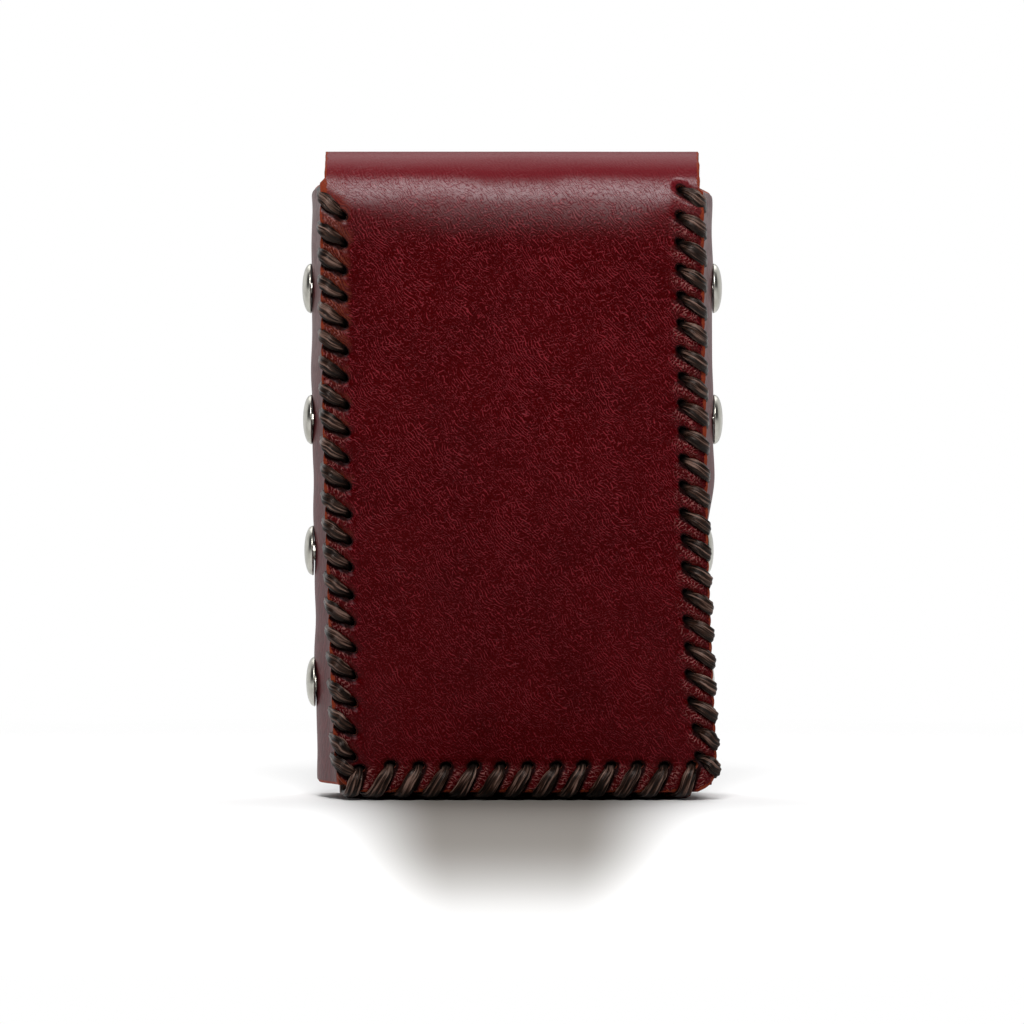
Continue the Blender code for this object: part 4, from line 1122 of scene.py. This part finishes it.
def smooth_line(rows, steps):
    """A smooth line through rows of numbers, with some steps between each two."""
    rows = np.array(rows, float)
    before = np.vstack([rows[:1], rows[:-1]])
    after = np.vstack([rows[1:], rows[-1:]])
    beyond = np.vstack([rows[2:], rows[-1:], rows[-1:]])
    line = []
    for share in np.arange(steps) / steps:
        square, cube = share ** 2, share ** 3
        bend = (2 * before - 5 * rows + 4 * after - beyond) * square
        twist = (3 * rows - before - 3 * after + beyond) * cube
        line.append(0.5 * (2 * rows + (after - before) * share + bend + twist))
    line = np.stack(line, 1)[:-1].reshape(-1, rows.shape[1])
    return np.vstack([line, rows[-1:]])


print("lace knots:", len(lace_knots(back_stitches)))

# %% [markdown]
# The lace is swept here as rings of points along its line. Numpy makes them, since a Blender curve can't give
# each stitch its own turn, width and strands.

# %% Sweeping the lace
SECTION_POINTS = 30
LACE_STEPS = 4
STRANDS = 7


def lace_rings(knots, seed):
    """The lobed sections along the knots: points as rings, how far each looks down, and the length travelled."""
    rows = [np.concatenate([np.array(point) / MM, width, [squeeze]]) for point, width, squeeze in knots]
    line = smooth_line(rows, LACE_STEPS)
    centre, width, squeeze = line[:, :3] * MM, line[:, 3:6], line[:, 6]
    ahead = np.gradient(centre, axis=0)
    ahead /= np.linalg.norm(ahead, axis=1)[:, None]
    width -= ahead * np.sum(width * ahead, axis=1)[:, None]
    width /= np.linalg.norm(width, axis=1)[:, None]
    rise = np.cross(ahead, width)
    travelled = np.concatenate([[0], np.cumsum(np.linalg.norm(np.diff(centre, axis=0), axis=1))])
    angles = np.arange(SECTION_POINTS) * 2 * math.pi / SECTION_POINTS
    random = np.random.default_rng(seed)
    drift = np.interp(travelled, np.linspace(0, travelled[-1], 240), random.uniform(-1.6, 1.6, 240))[:, None]
    swell = np.interp(travelled, np.linspace(0, travelled[-1], 220), random.uniform(0.93, 1.08, 220))
    lobes = 1 + 0.11 * np.sin(STRANDS * angles + 2.4 * drift) + 0.05 * np.sin(4 * angles - 3.0 * drift)
    flat = np.cos(angles) * lobes * (squeeze * swell)[:, None] * LACE_HALF_WIDTH
    thick = np.sign(np.sin(angles)) * np.abs(np.sin(angles)) ** 0.85
    thick = thick * lobes * LACE_HALF_THICKNESS * swell[:, None]
    offsets = flat[..., None] * width[:, None, :] + thick[..., None] * rise[:, None, :]
    facing = offsets / np.linalg.norm(offsets, axis=2)[..., None]
    looks_down = ease(-facing[..., 2] + 0.35 * facing[..., 1], 0.25, 0.85)
    return centre[:, None, :] + offsets, looks_down, travelled


def sweep_lace(name, stitches, turned, material, seed):
    """Skins the lace's rings with faces and returns the piece and its length."""
    rings, looks_down, travelled = lace_rings(lace_knots(stitches), seed)
    points = rings.reshape(-1, 3)
    beside_edge = PANEL_HALF - np.abs(points[:, 0])
    inside = ease(edge_distance(beside_edge, points[:, 2] - PANEL_FOOT, CORNER_RADIUS), 1.0 * MM, 1.9 * MM)
    # Painted shade: the lace is darkened where it lies in a hole.
    sunk = inside * ease(points[:, 1], BACK_FACE - 0.25 * MM, BACK_FACE + 0.75 * MM)
    points = settle(turn_round(points) if turned else points)
    count = len(rings)
    place = np.arange(SECTION_POINTS)
    start = np.arange(count - 1)[:, None] * SECTION_POINTS
    beside = (place + 1) % SECTION_POINTS
    corners = [start + place, start + beside, start + SECTION_POINTS + beside, start + SECTION_POINTS + place]
    faces = np.stack(corners, 2).reshape(-1, 4).tolist()
    faces.append(place[::-1].tolist())
    faces.append((place + (count - 1) * SECTION_POINTS).tolist())
    piece = new_piece(name, points.tolist(), [], faces)
    mesh = piece.data
    uv = mesh.uv_layers.new(name="along_lace")
    vertices = np.empty(len(mesh.loops), int)
    mesh.loops.foreach_get("vertex_index", vertices)
    ring, place = vertices // SECTION_POINTS, vertices % SECTION_POINTS
    face_of_loop = np.repeat(np.arange(len(mesh.polygons)), [face.loop_total for face in mesh.polygons])
    wraps = (place == 0) & (face_of_loop % SECTION_POINTS == SECTION_POINTS - 1)
    round_share = np.where(wraps, 1.0, place / SECTION_POINTS)
    uv.data.foreach_set("uv", np.stack([travelled[ring] / MM, round_share], 1).astype(np.float32).ravel())
    mesh.materials.append(material)
    mesh.shade_smooth()
    # Painted shade also on the side of the lace that looks down.
    keep(piece, sunk=np.maximum(sunk, looks_down.ravel() * 0.85))
    bpy.ops.object.mode_set(mode="EDIT")
    bpy.ops.mesh.select_all(action="SELECT")
    bpy.ops.mesh.normals_make_consistent(inside=False)
    bpy.ops.object.mode_set(mode="OBJECT")
    return piece, travelled[-1]


print("each ring has", SECTION_POINTS, "points")

# %% [markdown]
# The lace's finish follows its UV map, so its fibres run along it. It is painted dark, as shade, where it lies
# in a hole or looks down.

# %% Waxed fibre, and the two laces
lace_fibre, wire, shader = new_material("waxed_lace_fibre", {
    "Specular IOR Level": 0.18, "Specular Tint": (1, 0.80, 0.72, 1)})
map_place = wire.add("UVMap", {"uv_map": "along_lace"})
fibres = map_place.stretched((0, 0, 0), (3.2, 0.027, 1.0)).noise(1.0, 3.0, 0.55)
strands = map_place.stretched((0, 0, 0), (5.0, 0.075, 1.0)).noise(1.0, 1.0)
sunk = wire.kept("sunk")
height = fibres * 0.45 + strands * 0.85
stops = [(0.44, (0.0012, 0.0004, 0.0002)), (0.52, (0.017, 0.0066, 0.0036)), (0.62, (0.125, 0.074, 0.058))]
tint = wire.add("ValToRGB", {"stops": stops}, {0: height / 1.3})
# Painted shade: nearly black in the holes and on the lace's underside.
tint = wire.mix(sunk, tint, (0.0008, 0.0005, 0.0004))
feed(shader, Base_Color=tint, Roughness=0.30 + fibres * 0.15 + sunk * 0.3, Normal=height.bump(1.0, 0.00022))

laces = {}
for name, stitches, turned, node, seed in (
        ("back_lace", back_stitches, False, "back_lacing", 2),
        ("front_lace", front_stitches, True, "front_lacing", 8)):
    piece, length = sweep_lace(name, stitches, turned, lace_fibre, seed)
    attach(piece, "case_body")
    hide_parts(node)
    laces[name] = round(length, 3)
print("lace lengths in metres:", laces)

# %% [markdown]
# ## Rivets and press stud
#
# All the metal is satin nickel plate, with cloudy patches and fine scuffs.

# %% Nickel
nickel, wire, shader = new_material("satin_nickel", {"Metallic": 1.0, "Specular IOR Level": 0.5})
place = wire.millimetres()
scuffs = place.noise(0.35, 4.0, 0.65)
cloud = place.noise(2.2)
tint = wire.mix(cloud.ramp(0.35, 0.7), (0.34, 0.33, 0.29), (0.44, 0.43, 0.385))
feed(shader, Base_Color=tint, Roughness=0.24 + scuffs * 0.14, Normal=scuffs.bump(0.06, 0.00003))
print("nickel nodes:", len(wire.tree.nodes))

# %% [markdown]
# The rivet caps and the four parts of the press stud are turned parts, so each is spun from a profile. A cap is
# a dome that stands on the gusset on a rolled rim, with its post through the leather.

# %% Turning metal parts
def spin_part(name, profile, direction, foot, material, sides=48, ring=False, easing=0):
    """Spins a profile of (radius, height) pairs about Z, then stands it at foot along direction."""
    links = [(i, i + 1) for i in range(len(profile) - 1)] + ([(len(profile) - 1, 0)] if ring else [])
    piece = new_piece(name, [(radius, 0, height) for radius, height in profile], links, [])
    mesh = piece.data
    bpy.ops.object.mode_set(mode="EDIT")
    bpy.ops.mesh.select_all(action="SELECT")
    bpy.ops.mesh.spin(steps=sides, angle=2 * math.pi, center=(0, 0, 0), axis=(0, 0, 1))
    bpy.ops.mesh.select_all(action="SELECT")
    bpy.ops.mesh.remove_doubles(threshold=1e-6)
    bpy.ops.mesh.normals_make_consistent(inside=False)
    if easing:
        bpy.ops.mesh.select_mode(type="EDGE")
        bpy.ops.mesh.select_all(action="DESELECT")
        bpy.ops.mesh.edges_select_sharp(sharpness=math.radians(40))
        bpy.ops.mesh.bevel(offset=easing, segments=3, affect="EDGES")
    bpy.ops.object.mode_set(mode="OBJECT")
    turn = Vector(direction).to_track_quat("Z", "Y").to_matrix().to_4x4()
    turn.translation = foot
    mesh.transform(turn)
    mesh.materials.append(material)
    mesh.shade_smooth()
    mesh.set_sharp_from_angle(angle=math.radians(50))
    return piece


def dome_profile(radius, height, post_radius, post_length):
    """A dome with a rolled rim, hollow under the rim, with its post."""
    rim = 0.22 * MM
    profile = [(0, height)]
    for step in range(1, 15):
        angle = math.radians(90) * step / 14
        profile.append(((radius - rim * 0.4) * math.sin(angle), rim + (height - rim) * math.cos(angle) ** 0.9))
    profile[-1] = (radius - rim * 0.1, rim * 1.15)
    profile += [(radius, rim * 0.6), (radius - rim * 0.25, rim * 0.12), (radius - rim * 0.9, 0)]
    profile += [(post_radius, 0.12 * MM), (post_radius, -post_length), (0, -post_length)]
    return profile


print("turning tools ready")

# %% [markdown]
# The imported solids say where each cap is. It follows the gusset as the case has settled.

# %% Rivet caps
RIVET_RADIUS = 4.0 * MM
RIVET_HEIGHT = 1.5 * MM
POST_RADIUS = 0.9 * MM
POST_LENGTH = 1.9 * MM
RIVET_SEAT = 1.85 * MM
rivets = 0
for name in sorted(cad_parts):
    if "rivet_cap" in name:
        low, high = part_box(name)
        side = -1 if name.startswith("left") else 1
        middle = (low + high) / 2
        foot = settle([[side * (max(abs(low.x), abs(high.x)) - RIVET_SEAT), middle.y, middle.z]])[0]
        profile = dome_profile(RIVET_RADIUS, RIVET_HEIGHT, POST_RADIUS, POST_LENGTH)
        cap = spin_part(name + "_dome", profile, (side, 0, 0), foot, nickel)
        rivets += 1
        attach(cap, "case_body")
        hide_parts(name)
print("rivet caps:", rivets)

# %% [markdown]
# The press stud has a cap and a socket on the flap, and a knob and its post on the front panel. The cap's post
# goes through the flap into the socket, whose throat goes over the knob.

# %% Press stud
forward = (0, 1, 0)
stud_parts = []
for name, body in (
        ("snap_cap", "flap_drop"), ("snap_socket", "flap_drop"),
        ("snap_stud", "case_body"), ("snap_post", "case_body")):
    low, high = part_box(name)
    radius, thick = (high.x - low.x) / 2, high.y - low.y
    ring, easing, foot_y = False, 0.12 * MM, low.y
    if name == "snap_cap":
        foot_y, easing = high.y - 1.95 * MM, 0
        profile = dome_profile(radius, 1.95 * MM, 1.2 * MM, foot_y - low.y)
    elif name == "snap_socket":
        ring = True
        profile = [(1.5 * MM, thick), (1.5 * MM, 0.7 * thick), (2.5 * MM, 0.55 * thick), (2.3 * MM, 0)]
        profile += [(radius - 0.8 * MM, 0), (radius, 0.45 * thick), (radius, thick)]
    elif name == "snap_stud":
        profile = [(0, thick * 0.6), (1.5 * MM, thick * 0.6), (1.5 * MM, 0), (radius, 0)]
        profile += [(radius, thick - 1.55 * MM), (radius - 0.5 * MM, thick - 1.3 * MM)]
        profile += [(1.75 * MM, thick - 1.3 * MM), (2.0 * MM, thick - 0.75 * MM), (1.8 * MM, thick - 0.15 * MM)]
        profile += [(1.2 * MM, thick), (0, thick)]
    else:
        profile = [(0, thick), (1.2 * MM, thick), (1.2 * MM, 0.5 * MM), (radius, 0.5 * MM)]
        profile += [(radius, 0.2 * MM), (radius - 0.3 * MM, 0), (0, 0)]
    part = spin_part(name + "_turned", profile, forward, (0, foot_y, SNAP_HEIGHT), nickel, 64, ring, easing)
    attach(part, body)
    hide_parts(name)
    stud_parts.append(part)
print("press stud:", {part.name: len(part.data.polygons) for part in stud_parts})

# %% [markdown]
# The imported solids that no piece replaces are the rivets' inner halves. They are plain turned metal already.

# %% Metal for the rivets' inner halves
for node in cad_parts.values():
    if not node.hide_render:
        for slot in node.material_slots:
            slot.link = "OBJECT"
            slot.material = nickel
print("nodes still shown:", [name for name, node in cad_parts.items() if not node.hide_render])

# %% [markdown]
# The last step prints how far what is seen reaches beyond the box of the solids.

# %% Record the sizes and finish
seen_low, seen_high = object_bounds()
grown_low = [round((a - b) / MM, 2) for a, b in zip(cad_low, seen_low)]
grown_high = [round((b - a) / MM, 2) for a, b in zip(cad_high, seen_high)]
print("grown by, mm:", grown_low, grown_high)
